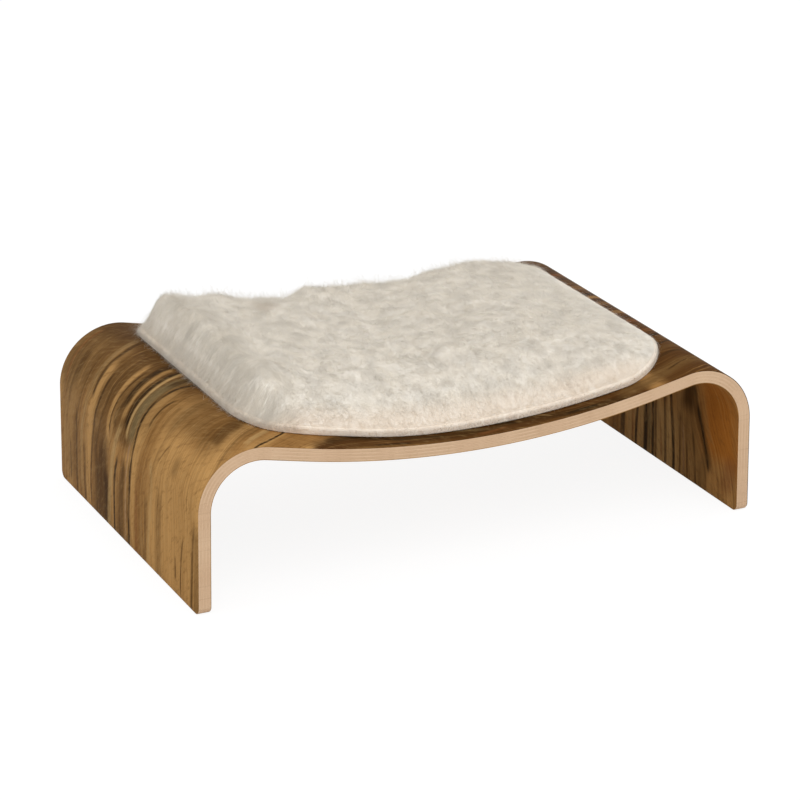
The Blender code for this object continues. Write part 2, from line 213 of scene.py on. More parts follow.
# Light, floor, and the camera of the photograph: angles in radians, lens in millimetres
AROUND_LIGHT = 0.78
LAMP_POWER = 27
LAMP_SIZE = 2.4
LAMP_PLACE = (-0.2, -1.7, 2.4)
LAMP_AIM = (0, 0, 0.1)
FLOOR_SIZE = 8
FLOOR_GLOW = 0.89
FLOOR_DIM = (0.16, 0.16, 0.16)
FLOOR_PLAIN = (0.80, 0.80, 0.80)
CAMERA_TURN = -0.4418
CAMERA_RISE = 0.3645
CAMERA_DISTANCE = 2.70835
CAMERA_TARGET = (0.00004, 0, 0.09102)
CAMERA_LENS = 134.517


# Where things lie on the board

def board_curve(s):
    """Points (x, z) and outward normals of the outer face at lengths s, on either side of the middle."""
    s = np.asarray(s, dtype=float)
    side = np.where(s < 0, -1.0, 1.0)
    s = np.abs(s)
    hollow = s / SEAT_RADIUS
    turn = np.minimum((s - S_BEND) / BEND_RADIUS, BEND_TURN) - SEAT_SLOPE
    leg_run = np.maximum(s - S_LEG, 0)
    on_shoulder = s > S_SHOULDER
    on_bend = s > S_BEND
    run = s - S_SHOULDER
    x = np.where(on_shoulder, SEAT_EDGE[0] + run * math.cos(SEAT_SLOPE), SEAT_RADIUS * np.sin(hollow))
    z = np.where(on_shoulder, SEAT_EDGE[1] + run * math.sin(SEAT_SLOPE),
                 SEAT_LOW + SEAT_RADIUS * (1 - np.cos(hollow)))
    normal_x = np.where(on_shoulder, -math.sin(SEAT_SLOPE), -np.sin(hollow))
    normal_z = np.where(on_shoulder, math.cos(SEAT_SLOPE), np.cos(hollow))
    x = np.where(on_bend, BEND_CENTRE[0] + BEND_RADIUS * np.sin(turn) + leg_run * math.sin(LEG_SPLAY), x)
    z = np.where(on_bend, BEND_CENTRE[1] + BEND_RADIUS * np.cos(turn) - leg_run * math.cos(LEG_SPLAY), z)
    normal_x = np.where(on_bend, np.sin(turn), normal_x)
    normal_z = np.where(on_bend, np.cos(turn), normal_z)
    return side * x, z, side * normal_x, normal_z


def on_board(flat):
    """World points of flat points (s, y, n)."""
    flat = np.asarray(flat, dtype=float)
    x, z, normal_x, normal_z = board_curve(flat[..., 0])
    n = flat[..., 2]
    return np.stack([x + n * normal_x, flat[..., 1], z + n * normal_z], axis=-1)


def length_to_floor(n, lift):
    """Length s at which the leg's surface at height n comes down to lift above the floor."""
    start = on_board(np.stack([np.full_like(n, S_LEG), np.zeros_like(n), n], axis=-1))[..., 2]
    return S_LEG + (start - lift) / math.cos(LEG_SPLAY)


def stations():
    """Lengths from foot to foot at which a flat sheet is divided before it is bent."""
    seat = [S_SHOULDER * k / SEAT_STEPS for k in range(1, SEAT_STEPS + 1)]
    shoulder = [S_SHOULDER + SHOULDER * k / SHOULDER_STEPS for k in range(1, SHOULDER_STEPS)]
    bend = [S_BEND + BEND_RADIUS * BEND_TURN * k / BEND_STEPS for k in range(BEND_STEPS + 1)]
    foot = float(length_to_floor(np.zeros(1), 0)[0])
    leg = [S_LEG + (foot - FOOT_CORNER - S_LEG) * k / LEG_STEPS for k in range(1, LEG_STEPS + 1)]
    half = seat + shoulder + bend + leg
    return [-s for s in reversed(half)] + [0.0] + half


# Flat work, as at the bench

def choose(piece, kind, chosen):
    """Selects, in edit mode, the points, edges or faces that pass a test."""
    bpy.ops.mesh.select_mode(type=kind)
    bpy.ops.mesh.select_all(action="DESELECT")
    mesh = bmesh.from_edit_mesh(piece.data)
    for one in {"VERT": mesh.verts, "EDGE": mesh.edges, "FACE": mesh.faces}[kind]:
        one.select_set(chosen(one))
    bmesh.update_edit_mesh(piece.data)


def flat_piece(name, along, across, centre=0.0, corners=(0.0, 0.0), corner_steps=8):
    """A flat sheet in edit mode, with its front and back corners rounded."""
    bpy.ops.object.select_all(action="DESELECT")
    bpy.ops.mesh.primitive_plane_add(size=1)
    piece = bpy.context.object
    piece.name = piece.data.name = name
    bpy.ops.object.mode_set(mode="EDIT")
    bpy.ops.transform.resize(value=(along, across, 1))
    bpy.ops.transform.translate(value=(centre, 0, 0))
    for side, corner in zip((-1, 1), corners):
        if corner:
            choose(piece, "VERT", lambda point: side * point.co.y > across / 2 - CLEARANCE / 10)
            bpy.ops.mesh.bevel(offset=corner, segments=corner_steps, profile=0.5, affect="VERTICES")
    return piece


def cut_across(places, axis=0):
    """Divides the sheet in edit mode at each place along one axis."""
    normal = [0, 0, 0]
    normal[axis] = 1
    for place in places:
        bpy.ops.mesh.select_all(action="SELECT")
        bpy.ops.mesh.bisect(plane_co=[place * c for c in normal], plane_no=normal)


def thicken(piece, thickness):
    """Leaves edit mode and gives the flat sheet its thickness, downwards from 0."""
    bpy.ops.object.mode_set(mode="OBJECT")
    solid = piece.modifiers.new("thickness", "SOLIDIFY")
    solid.thickness = thickness
    solid.offset = -1
    solid.use_even_offset = True
    bpy.ops.object.modifier_apply(modifier=solid.name)


def ease_edges(piece, width, segments=1):
    """Breaks the sharp edges of a piece."""
    bevel = piece.modifiers.new("eased", "BEVEL")
    bevel.width = width
    bevel.segments = segments
    bevel.limit_method = "ANGLE"
    bevel.angle_limit = math.radians(50)
    bpy.ops.object.modifier_apply(modifier=bevel.name)


def read(items, what, width, kind=float):
    """One property of all items, a row for each."""
    values = np.empty(len(items) * width, dtype=kind)
    items.foreach_get(what, values)
    return values.reshape(-1, width)


def read_corners(piece):
    """The point that each face corner lies at."""
    return read(piece.data.loops, "vertex_index", 1, int)[:, 0]


def write_points(piece, points):
    piece.data.vertices.foreach_set("co", np.asarray(points, dtype=float).ravel())
    piece.data.update()


def keep_flat_map(piece, flat):
    """Keeps each corner's flat place, along and across, as the map that grain and weave follow."""
    layers = piece.data.uv_layers
    for other in [one.name for one in layers if one.name != "flat"]:
        layers.remove(layers[other])
    layer = layers.get("flat") or layers.new(name="flat")
    layer.uv.foreach_set("vector", flat[read_corners(piece)][:, :2].astype(np.float32).ravel())


def draw_in(flat):
    """Flat points with the pad's front edge drawn in at the left, and a little further out elsewhere."""
    moved = np.array(flat, dtype=float)
    s, y = moved[..., 0], moved[..., 1]
    reach = np.clip((-y - DRAWN_IN_FROM) / (PAD_DEPTH / 2 - DRAWN_IN_FROM), 0, 1)
    share = DRAWN_IN * np.exp(-((s - DRAWN_IN_AT) / DRAWN_IN_SPREAD) ** 2 / 2)
    share = share - (PUSHED_OUT * np.clip((s - PUSHED_FROM[0]) / PUSHED_FROM[1], 0, 1)
                     * np.clip((PUSHED_TO[0] - s) / PUSHED_TO[1], 0, 1))
    moved[..., 1] += share * reach ** 2 * (3 - 2 * reach)
    return moved


def lay_on_board(piece, height, to_foot=False, lift=0.0, drawn=False):
    """Keeps the flat map, then bends the sheet over the board with its upper face at a height above it."""
    flat = read(piece.data.vertices, "co", 3)
    flat[:, 2] += height
    keep_flat_map(piece, flat)
    if drawn:
        flat = draw_in(flat)
    if to_foot:
        s = np.abs(flat[:, 0])
        nominal = length_to_floor(np.zeros(1), 0)[0]
        reach = length_to_floor(flat[:, 2], lift)
        share = np.clip((s - S_LEG) / (nominal - S_LEG), 0, 1)
        flat[:, 0] = np.sign(flat[:, 0]) * np.where(s > S_LEG, S_LEG + share * (reach - S_LEG), s)
    write_points(piece, on_board(flat))


def finish_piece(piece, body, slot, material, *nodes, smooth=40):
    """Turns faces outwards, shades the piece, gives it its material, ties it to its body and hides the solids it
    replaces. The slot is not used.
    """
    bpy.ops.object.select_all(action="DESELECT")
    piece.select_set(True)
    bpy.context.view_layer.objects.active = piece
    bpy.ops.object.mode_set(mode="EDIT")
    bpy.ops.mesh.select_all(action="SELECT")
    bpy.ops.mesh.normals_make_consistent(inside=False)
    bpy.ops.object.mode_set(mode="OBJECT")
    bpy.ops.object.shade_smooth_by_angle(angle=math.radians(smooth))
    piece.data.materials.clear()
    piece.data.materials.append(material)
    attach(piece, body)
    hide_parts(*nodes)


# Building materials

class Nodes:
    """The nodes of one tree, laid down one after another."""

    def __init__(self, tree):
        self.tree = tree

    def put(self, kind, settings=None, **sockets):
        node = self.tree.nodes.new(kind)
        for key, value in (settings or {}).items():
            setattr(node, key, value)
        for key, value in sockets.items():
            self.feed(node.inputs[key.replace("_", " ")], value)
        return node

    def feed(self, socket, value):
        if isinstance(value, bpy.types.NodeSocket):
            self.tree.links.new(value, socket)
        elif isinstance(value, tuple) and len(value) == 3 and socket.type == "RGBA":
            socket.default_value = (*value, 1)
        else:
            socket.default_value = value

    def fill(self, node, *values):
        """Feeds a node's first sockets in turn and gives its result."""
        for socket, value in zip(node.inputs, values):
            self.feed(socket, value)
        return node.outputs[0]

    def sum(self, operation, *values):
        return self.fill(self.put("ShaderNodeMath", {"operation": operation}), *values)

    def at(self, x, y, z=0.0):
        return self.fill(self.put("ShaderNodeCombineXYZ"), x, y, z)

    def ramp(self, value, low, high, to_low=0.0, to_high=1.0, kind="SMOOTHSTEP"):
        node = self.put("ShaderNodeMapRange", {"interpolation_type": kind})
        return self.fill(node, value, low, high, to_low, to_high)

    def blend(self, share, first, second):
        node = self.put("ShaderNodeMix", {"data_type": "RGBA"})
        for place, value in ((0, share), (6, first), (7, second)):
            self.feed(node.inputs[place], value)
        return node.outputs[2]

    def tint(self, colour, tone, noise, low, high, share):
        """Lays a tone over a colour as a noise goes from low to high, up to a share."""
        return self.blend(self.ramp(noise, low, high, 0, share), colour, tone)

    def join(self, kind, first, second, **sockets):
        """A shader made of two others."""
        node = self.put(kind, **sockets)
        for socket, shader in zip([one for one in node.inputs if one.type == "SHADER"], (first, second)):
            self.feed(socket, shader.outputs[0])
        return node

    def seen(self):
        """1 for rays that reach the camera straight or as a gleam, 0 for those that carry light."""
        rays = self.put("ShaderNodeLightPath").outputs
        return self.sum("MAXIMUM", rays["Is Camera Ray"],
                        self.sum("MAXIMUM", rays["Is Glossy Ray"], rays["Is Transmission Ray"]))


class Recipe(Nodes):
    """A material, and the flat places that its pattern follows."""

    def __init__(self, name):
        self.material = bpy.data.materials.new(name)
        self.material.use_nodes = True
        super().__init__(self.material.node_tree)
        self.shader = self.tree.nodes["Principled BSDF"]

    def flat_place(self):
        """Sockets for the flat places along and across, in metres."""
        place = self.put("ShaderNodeUVMap", {"uv_map": "flat"})
        split = self.put("ShaderNodeSeparateXYZ", Vector=place.outputs[0])
        return split.outputs[0], split.outputs[1]

    def grain(self, along, across, per_along, per_across, detail=2.0, rough=0.5, seed=0.0):
        """Noise from 0 to 1, stretched by giving each way its own number of waves a metre."""
        place = self.at(self.sum("MULTIPLY", along, per_along), self.sum("MULTIPLY", across, per_across), seed)
        node = self.put("ShaderNodeTexNoise", Vector=place, Scale=1.0, Detail=detail, Roughness=rough)
        return node.outputs[0]

    def raise_by(self, height, distance, strength=1.0):
        bump = self.put("ShaderNodeBump", Height=height, Distance=distance, Strength=strength)
        self.feed(self.shader.inputs["Normal"], bump.outputs[0])

    def surface(self, **sockets):
        for key, value in sockets.items():
            self.feed(self.shader.inputs[key.replace("_", " ")], value)
        return self.material

    def show(self, shader):
        """Gives the material another shader than its plain one."""
        self.feed(self.tree.nodes["Material Output"].inputs["Surface"], shader.outputs[0])


def grain_line_group():
    """Node group for one drawn line or band: 1 along its middle, 0 past its sides and ends."""
    group = bpy.data.node_groups.new("grain line", "ShaderNodeTree")
    for name in ("Off", "Along", "Half width", "Start", "End", "Fade", "Strength"):
        group.interface.new_socket(name, in_out="INPUT", socket_type="NodeSocketFloat")
    group.interface.new_socket("Mask", in_out="OUTPUT", socket_type="NodeSocketFloat")
    nodes = Nodes(group)
    given = nodes.put("NodeGroupInput").outputs
    off = nodes.sum("DIVIDE", nodes.sum("ABSOLUTE", given["Off"]), given["Half width"])
    near = nodes.ramp(nodes.sum("SUBTRACT", 1.0, off), 0.0, 0.75)
    begun = nodes.ramp(given["Along"], given["Start"], nodes.sum("ADD", given["Start"], given["Fade"]))
    ended = nodes.ramp(given["Along"], nodes.sum("SUBTRACT", given["End"], given["Fade"]), given["End"])
    between = nodes.sum("MULTIPLY", begun, nodes.sum("SUBTRACT", 1.0, ended))
    mask = nodes.sum("MULTIPLY", nodes.sum("MULTIPLY", near, between), given["Strength"])
    nodes.feed(nodes.put("NodeGroupOutput").inputs[0], mask)
    return group


GRAIN_LINE = grain_line_group()
# Widest sideways reach of a drawn way, in metres; what a drawn half width is multiplied by; and the half width, in
# millimetres, from which on a line is a band, whose strength stays even
CURVE_REACH = 0.4
LINE_SPREAD = 1.15
BAND_FROM = 8


def way_across(recipe, along, points):
    """How far across a drawn way lies at each length along, in metres, from points in millimetres (s, y)."""
    node = recipe.put("ShaderNodeFloatCurve")
    curve = node.mapping.curves[0]
    low, high = points[0][0], points[-1][0]
    places = [((s - low) / (high - low), 0.5 + y / 1000 / CURVE_REACH) for s, y in points]
    for place in places[1:-1]:
        curve.points.new(*place)
    curve.points[0].location = places[0]
    curve.points[len(places) - 1].location = places[-1]
    node.mapping.update()
    recipe.feed(node.inputs["Value"], recipe.ramp(along, low / 1000, high / 1000, kind="LINEAR"))
    return recipe.sum("MULTIPLY", recipe.sum("SUBTRACT", node.outputs[0], 0.5), CURVE_REACH)


def drawn_lines(recipe, colour, along, across, lines):
    """Lays drawn lines and bands over a colour: each has its tone, half width, strength, the length over which its
    ends fade, and its way as points (s, y), all in millimetres. The strength of lines comes and goes along them."""
    uneven = recipe.ramp(recipe.grain(along, across, 38, 130, 3, 0.6, 8.3), 0.34, 0.56, 0.62, 1.0)
    for tone, half, strength, fade, *way in lines:
        off = recipe.sum("SUBTRACT", across, way_across(recipe, along, way))
        mask = recipe.put("ShaderNodeGroup", {"node_tree": GRAIN_LINE}, Off=off, Along=along,
                          Half_width=half * LINE_SPREAD / 1000, Start=way[0][0] / 1000, End=way[-1][0] / 1000,
                          Fade=fade / 1000, Strength=strength).outputs[0]
        share = recipe.sum("MULTIPLY", mask, uneven) if half < BAND_FROM else mask
        colour = recipe.blend(share, colour, tone)
    return colour


# How the grain of the outer face drifts sideways: over its middle and back, and over its front edge, where it
# runs slantwise round the left bend. Points in millimetres (s, y).
OUTER_WAYS = (
    ((-400, 2), (-386, 3), (-350, 4), (-325, 2), (-308, -3), (-292, -10), (-275, -14), (-258, -12), (-240, -9),
     (-222, -4), (-205, 1), (-150, 10), (0, 14), (195, 14), (215, 20), (245, 38), (270, 46), (400, 48)),
    ((-400, 0), (-300, 0), (-280, 1), (-260, 5), (-240, 15), (-210, 40), (-180, 68), (-150, 92), (-120, 104),
     (-60, 108), (0, 106), (195, 104), (215, 110), (245, 128), (270, 136), (400, 138)),
)


def over_right_bend(tone, half, strength, start, rise, turn):
    """A line that runs on over the right bend, from its places across at 204, 222 and 240 mm."""
    return (tone, half, strength, 8, (204, start), (222, rise), (240, turn), (262, turn + 12), (300, turn + 24),
            (400, turn + 28))


# Drawn on the outer face: tone, half width, strength, fade, then the way as points in millimetres (s, y)
OUTER_LINES = [
    (GOLD, 70, 0.75, 30, (-420, -112), (-300, -118), (-230, -112)),
    (COCOA, 30, 0.62, 30, (-440, 64), (-340, 64), (-300, 62), (-240, 62), (-170, 72)),
    (BROWN, 60, 0.62, 30, (-305, 152), (-260, 152), (-170, 158)),
    (COCOA, 150, 0.55, 30, (-290, 70), (-240, 66), (-205, 62), (-160, 62)),
    # Broad dark band beside the pad's left end: partly the wood's dark figure, partly painted shade under the pad's
    # overhang
    (COCOA, 150, 0.80, 18, (-232, 62), (-205, 62), (-160, 62)),
    (COCOA, 34, 0.72, 18, (-306, 8), (-260, 10), (-225, 16), (-180, 32)),
    (TOBACCO, 420, 0.93, 14, (172, 0), (200, 0), (300, 0), (440, 0)),
    (HONEY, 60, 0.14, 50, (262, 60), (320, 50), (440, 50)),
    (COCOA, 48, 0.75, 26, (-244, 160), (-215, 158), (-180, 158)),
    (BROWN, 30, 0.50, 30, (-390, 140), (-300, 140), (-240, 140)),
    (COCOA, 60, 0.55, 26, (-262, -110), (-225, -104), (-180, -96)),
    (STRAW, 5, 0.45, 20, (-390, 112), (-320, 112), (-285, 99), (-255, 100), (-230, 106), (-200, 118)),
    (GOLD, 9, 0.72, 16, (-400, 97), (-350, 96), (-320, 92), (-300, 88), (-280, 85), (-255, 85), (-235, 90)),
    (UMBER, 3.4, 0.85, 10, (-284, 89.5), (-272, 90), (-258, 92), (-245, 94.5), (-235, 96), (-222, 101), (-210, 108),
     (-196, 118)),
    (UMBER, 2.6, 0.70, 14, (-388, 89), (-360, 90), (-335, 87), (-315, 83), (-300, 78.5), (-288, 75), (-275, 73),
     (-262, 74), (-245, 78)),
    (COCOA, 22, 0.85, 24, (-400, 59), (-370, 59), (-345, 60), (-315, 64), (-300, 66)),
    (UMBER, 8, 0.80, 18, (-400, 47.5), (-370, 47.5), (-350, 49), (-330, 52)),
    (UMBER, 3.0, 0.45, 14, (-390, 74), (-360, 72), (-335, 70)),
    (HONEY, 4.5, 0.40, 12, (-338, 70), (-322, 70), (-303, 61)),
    (GOLD, 4.6, 0.80, 12, (-308, 43), (-290, 43.5), (-270, 44), (-250, 45), (-235, 47), (-218, 52)),
    (UMBER, 1.8, 0.80, 10, (-300, 39), (-280, 39.5), (-260, 39.5), (-240, 39), (-225, 41)),
    (GOLD, 4.5, 0.60, 12, (-282, 17), (-262, 17), (-245, 19), (-230, 22), (-215, 27), (-203, 32)),
    (INK, 6.0, 0.90, 12, (-270, 22), (-255, 24), (-245, 26), (-235, 28.5), (-225, 31), (-215, 34.5), (-205, 38),
     (-195, 43)),
    (UMBER, 4.2, 0.60, 8, (-290, 27), (-282, 30), (-274, 31), (-266, 27), (-258, 24)),
    (STRAW, 5.6, 0.72, 14, (-400, 44), (-370, 43), (-350, 40), (-335, 37), (-325, 34.5), (-315, 31.5), (-305, 27),
     (-297, 23.5), (-288, 18), (-275, 15)),
    (INK, 4.6, 0.94, 12, (-286, 4), (-270, 6.5), (-255, 8.5), (-245, 9.5), (-235, 11.5), (-225, 14), (-215, 17),
     (-205, 21), (-195, 26)),
    (INK, 3.2, 0.88, 12, (-400, 29.5), (-360, 30), (-345, 29.5), (-330, 27), (-316, 21.5), (-308, 17)),
    (BROWN, 5, 0.50, 14, (-400, 21), (-350, 21), (-325, 17)),
    (COCOA, 9, 0.75, 16, (-400, 10), (-350, 10), (-335, 9), (-318, 5), (-305, 2)),
    (OLIVE, 9, 0.85, 14, (-294, -11), (-280, -11), (-262, -8), (-245, -6), (-230, -4), (-212, -1), (-195, 5)),
    (UMBER, 7, 0.75, 12, (-232, -7), (-215, -3), (-205, 2), (-195, 8)),
    (STRAW, 3.0, 0.88, 10, (-292, -1), (-275, 0), (-260, 1.5), (-245, 3.5), (-235, 5.5), (-225, 8.5), (-215, 12.5),
     (-205, 17.5), (-195, 24)),
    (COCOA, 6, 0.80, 14, (-400, -5), (-350, -5.5), (-330, -8), (-315, -11), (-300, -16)),
    (INK, 2.6, 0.88, 10, (-400, -8), (-350, -8), (-335, -9), (-320, -11), (-308, -14), (-300, -17), (-290, -20.5),
     (-280, -21), (-270, -19), (-258, -17), (-245, -16), (-225, -15), (-205, -13), (-190, -9)),
    (BLUSH, 2.2, 0.75, 10, (-400, 1.5), (-350, 1), (-330, 0), (-315, -3), (-302, -6.5), (-293, -10), (-284, -14)),
    (UMBER, 2.0, 0.80, 8, (-268, -36), (-255, -33.5), (-242, -33), (-227, -35)),
    (BROWN, 3.0, 0.50, 8, (-262, -56), (-245, -54), (-228, -50)),
    (RUST, 4.0, 0.45, 14, (-400, -24), (-350, -25), (-318, -27)),
    (BROWN, 5.0, 0.65, 14, (-400, -45), (-360, -47), (-335, -49), (-318, -53)),
    (BROWN, 11, 0.50, 20, (-266, -72), (-240, -66), (-215, -62), (-190, -58)),
    (COCOA, 12, 0.75, 9, (-242, -137), (-228, -128), (-214, -117), (-200, -106)),
    (STRAW, 4, 0.55, 14, (-390, -54), (-350, -56), (-325, -62), (-300, -64), (-280, -60)),
    (BROWN, 9, 0.45, 20, (-400, -76), (-350, -78), (-300, -84)),
    (UMBER, 1.5, 0.50, 8, (-288, -74), (-275, -80), (-260, -86)),
    (BROWN, 8, 0.50, 10, (-288, -112), (-276, -111), (-262, -110)),
    (UMBER, 2.2, 0.70, 6, (-376, -119), (-363, -119), (-350, -119)),
    (UMBER, 2.0, 0.65, 12, (-386, -131), (-350, -133), (-325, -138)),
    (UMBER, 3.0, 0.78, 20, (-400, -155), (-330, -159), (-298, -164)),
    (BROWN, 9, 0.55, 20, (-400, -166), (-340, -168), (-300, -170)),
    (UMBER, 2.6, 0.65, 20, (-400, 128), (-340, 127), (-296, 125)),
    (BROWN, 3.6, 0.85, 14, (-400, 105), (-360, 106), (-325, 107.5)),
    (UMBER, 2.2, 0.60, 10, (-384, 144), (-355, 144), (-335, 144)),
    (COCOA, 6, 0.60, 10, (-280, 137), (-262, 137), (-246, 139)),
    (RUST, 2.6, 0.60, 10, (-290, 156), (-260, 158), (-222, 161)),
    (COCOA, 9, 0.60, 12, (-222, -128), (-210, -118), (-196, -103), (-185, -92)),
    (STRAW, 5, 0.65, 8, (-222, -163), (-205, -147), (-190, -132), (-176, -118)),
    (INK, 2.1, 0.96, 5, (-220, -176), (-210, -167), (-200, -158.5), (-190, -149.5), (-180, -140), (-171, -131),
     (-158, -118)),
    (HONEY, 9, 0.70, 8, (-200, -172), (-180, -156), (-165, -142), (-150, -128)),
    (TOBACCO, 26, 0.97, 14, (-168, -190), (-150, -172), (-128, -158), (-100, -155), (0, -158), (120, -158),
     (170, -166)),
    (UMBER, 8, 0.80, 16, (-150, -163), (-130, -148), (-100, -146), (-60, -155), (0, -158), (40, -153), (90, -163),
     (150, -168)),
    (INK, 3.2, 0.85, 12, (-122, -142), (-100, -148), (-60, -157), (-28, -158)),
    (INK, 2.4, 0.75, 8, (-104, -165), (-88, -164), (-64, -166)),
    (INK, 4.0, 0.80, 7, (14, -149), (28, -152), (40, -156)),
    (INK, 2.6, 0.80, 10, (76, -165), (95, -163), (118, -165)),
    (RUST, 3.0, 0.55, 10, (-8, -165), (14, -163), (30, -158)),
    (STRAW, 1.8, 0.50, 5, (54, -148), (62, -152), (72, -160)),
    (OLIVE, 3.5, 0.45, 9, (-26, -150), (-8, -153), (10, -158)),
    (BROWN, 12, 0.75, 18, (130, -162), (180, -152), (215, -140), (250, -126)),
    (UMBER, 1.8, 0.80, 10, (190, -150), (215, -140), (245, -126), (262, -118)),
    (UMBER, 3.2, 0.80, 8, (198, -122), (212, -116), (228, -109), (248, -99), (262, -92), (300, -80), (400, -76)),
    (BROWN, 5.0, 0.60, 8, (204, -108), (218, -101), (232, -95), (262, -82), (300, -70), (400, -66)),
    (INK, 2.0, 0.92, 6, (203, -99), (213, -93), (222, -89), (235, -79), (250, -70), (262, -60), (300, -48), (400, -44)),
    (BROWN, 4.5, 0.50, 8, (204, -86), (218, -81), (232, -72), (262, -56), (300, -44), (400, -40)),
    (INK, 3.2, 0.88, 8, (204, -78), (218, -70), (228, -64), (240, -54), (262, -40), (300, -28), (400, -24)),
    over_right_bend(RUST, 5.0, 0.65, -62, -53, -42),
    (COCOA, 4.5, 0.75, 8, (204, -50), (222, -42), (240, -31), (262, -18), (300, -6), (400, -2)),
    over_right_bend(RUST, 4.0, 0.70, -34, -26, -15),
    over_right_bend(UMBER, 3.0, 0.80, -20, -13, -2),
    over_right_bend(GOLD, 5.0, 0.50, -6, 2, 12),
    over_right_bend(UMBER, 3.4, 0.75, 10, 17, 27),
    over_right_bend(HONEY, 4.5, 0.40, 22, 30, 40),
    over_right_bend(UMBER, 3.0, 0.80, 32, 40, 50),
    over_right_bend(GOLD, 4.0, 0.55, 40, 48, 58),
    over_right_bend(INK, 3.4, 0.90, 51, 58, 68),
    over_right_bend(HONEY, 6.5, 0.50, 71, 79, 89),
    over_right_bend(COCOA, 6.0, 0.80, 86, 94, 104),
    over_right_bend(UMBER, 4.5, 0.85, 100, 108, 118),
    over_right_bend(RUST, 4.5, 0.75, 114, 121, 131),
    over_right_bend(UMBER, 7.0, 0.75, 127, 135, 145),
]
# The same for the inner face
INNER_WAYS = (
    ((-400, 0), (-200, 6), (0, -4), (200, 4), (300, 2), (330, -1), (400, -4)),
    ((-400, 0), (-200, 6), (0, -4), (200, 10), (290, 8), (320, -4), (345, -18), (370, -26), (400, -28)),
)
INNER_LINES = [
    (STRAW, 60, 0.70, 24, (318, -30), (345, -28), (420, -26)),
    (AMBER, 42, 0.95, 26, (240, -142), (290, -138), (330, -142), (362, -150)),
    (BROWN, 30, 0.70, 24, (290, -82), (330, -84), (370, -88), (420, -92)),
    (UMBER, 15, 0.85, 18, (268, -88), (285, -88), (305, -85), (325, -84)),
    (COCOA, 9, 0.75, 14, (300, -97), (318, -104), (335, -111), (350, -118), (368, -124)),
    (RUST, 14, 0.60, 18, (330, -166), (352, -158), (384, -150)),
    (BROWN, 12, 0.60, 16, (345, -118), (365, -112), (400, -104)),
    (INK, 3.0, 0.80, 10, (285, -95), (300, -98), (315, -103), (328, -109), (340, -113), (352, -118), (370, -122)),
    (HONEY, 4.5, 0.60, 10, (290, -108), (310, -113), (328, -121), (340, -132)),
    (INK, 3.6, 0.92, 8, (300, -50), (312, -51.5), (325, -53.5), (340, -55.5), (355, -57), (370, -58), (400, -59)),
    (INK, 3.0, 0.88, 8, (300, -41), (315, -41.5), (330, -42), (354, -43), (390, -44)),
    (RUST, 3.0, 0.60, 10, (335, -31), (350, -33), (365, -35), (386, -36)),
    (STRAW, 3.4, 0.60, 12, (310, -47), (330, -48), (360, -50), (400, -51)),
    (STRAW, 4.2, 0.60, 14, (315, -31), (340, -31), (400, -32)),
    (UMBER, 2.4, 0.75, 10, (320, -25), (345, -25), (400, -26)),
    (INK, 3.8, 0.88, 8, (310, -20), (330, -20), (355, -20), (400, -20)),
    (OLIVE, 3.2, 0.80, 10, (310, -14), (340, -14), (400, -13)),
    (INK, 5.4, 0.94, 8, (318, -9), (330, -8.5), (345, -8), (360, -7), (400, -5)),
    (STRAW, 3.4, 0.65, 10, (325, 1), (350, 2), (400, 3)),
    (INK, 3.4, 0.92, 6, (335, 9.5), (350, 9.5), (362, 11), (400, 12)),
    (RUST, 3.0, 0.65, 8, (345, 17), (370, 18), (400, 19)),
    (STRAW, 4.4, 0.65, 10, (345, 24), (370, 25), (400, 26)),
    (INK, 6.0, 0.75, 10, (348, 37), (370, 38), (400, 40)),
    (COCOA, 2.6, 0.70, 12, (320, -70), (350, -70), (400, -69)),
    (BLUSH, 2.4, 0.45, 12, (330, -75), (350, -76), (400, -77)),
    (COCOA, 2.6, 0.65, 12, (320, -80), (350, -82), (400, -84)),
    (UMBER, 2.4, 0.60, 12, (330, -91), (350, -95), (400, -100)),
]
# Places across between which the front way of the grain takes over, and how far lines wander off their way
FRONT_WAY_TAKES_OVER = (-0.070, -0.125)
WANDER_SLOW = 0.004
WANDER_QUICK = 0.0013
# Tones of the plies, light and dark, and of their flecks
LONG_PLY = (srgb(216, 184, 150), srgb(206, 172, 138))
CROSS_PLY = (srgb(212, 179, 145), srgb(201, 167, 133))
PLY_FLECK = srgb(150, 116, 84)


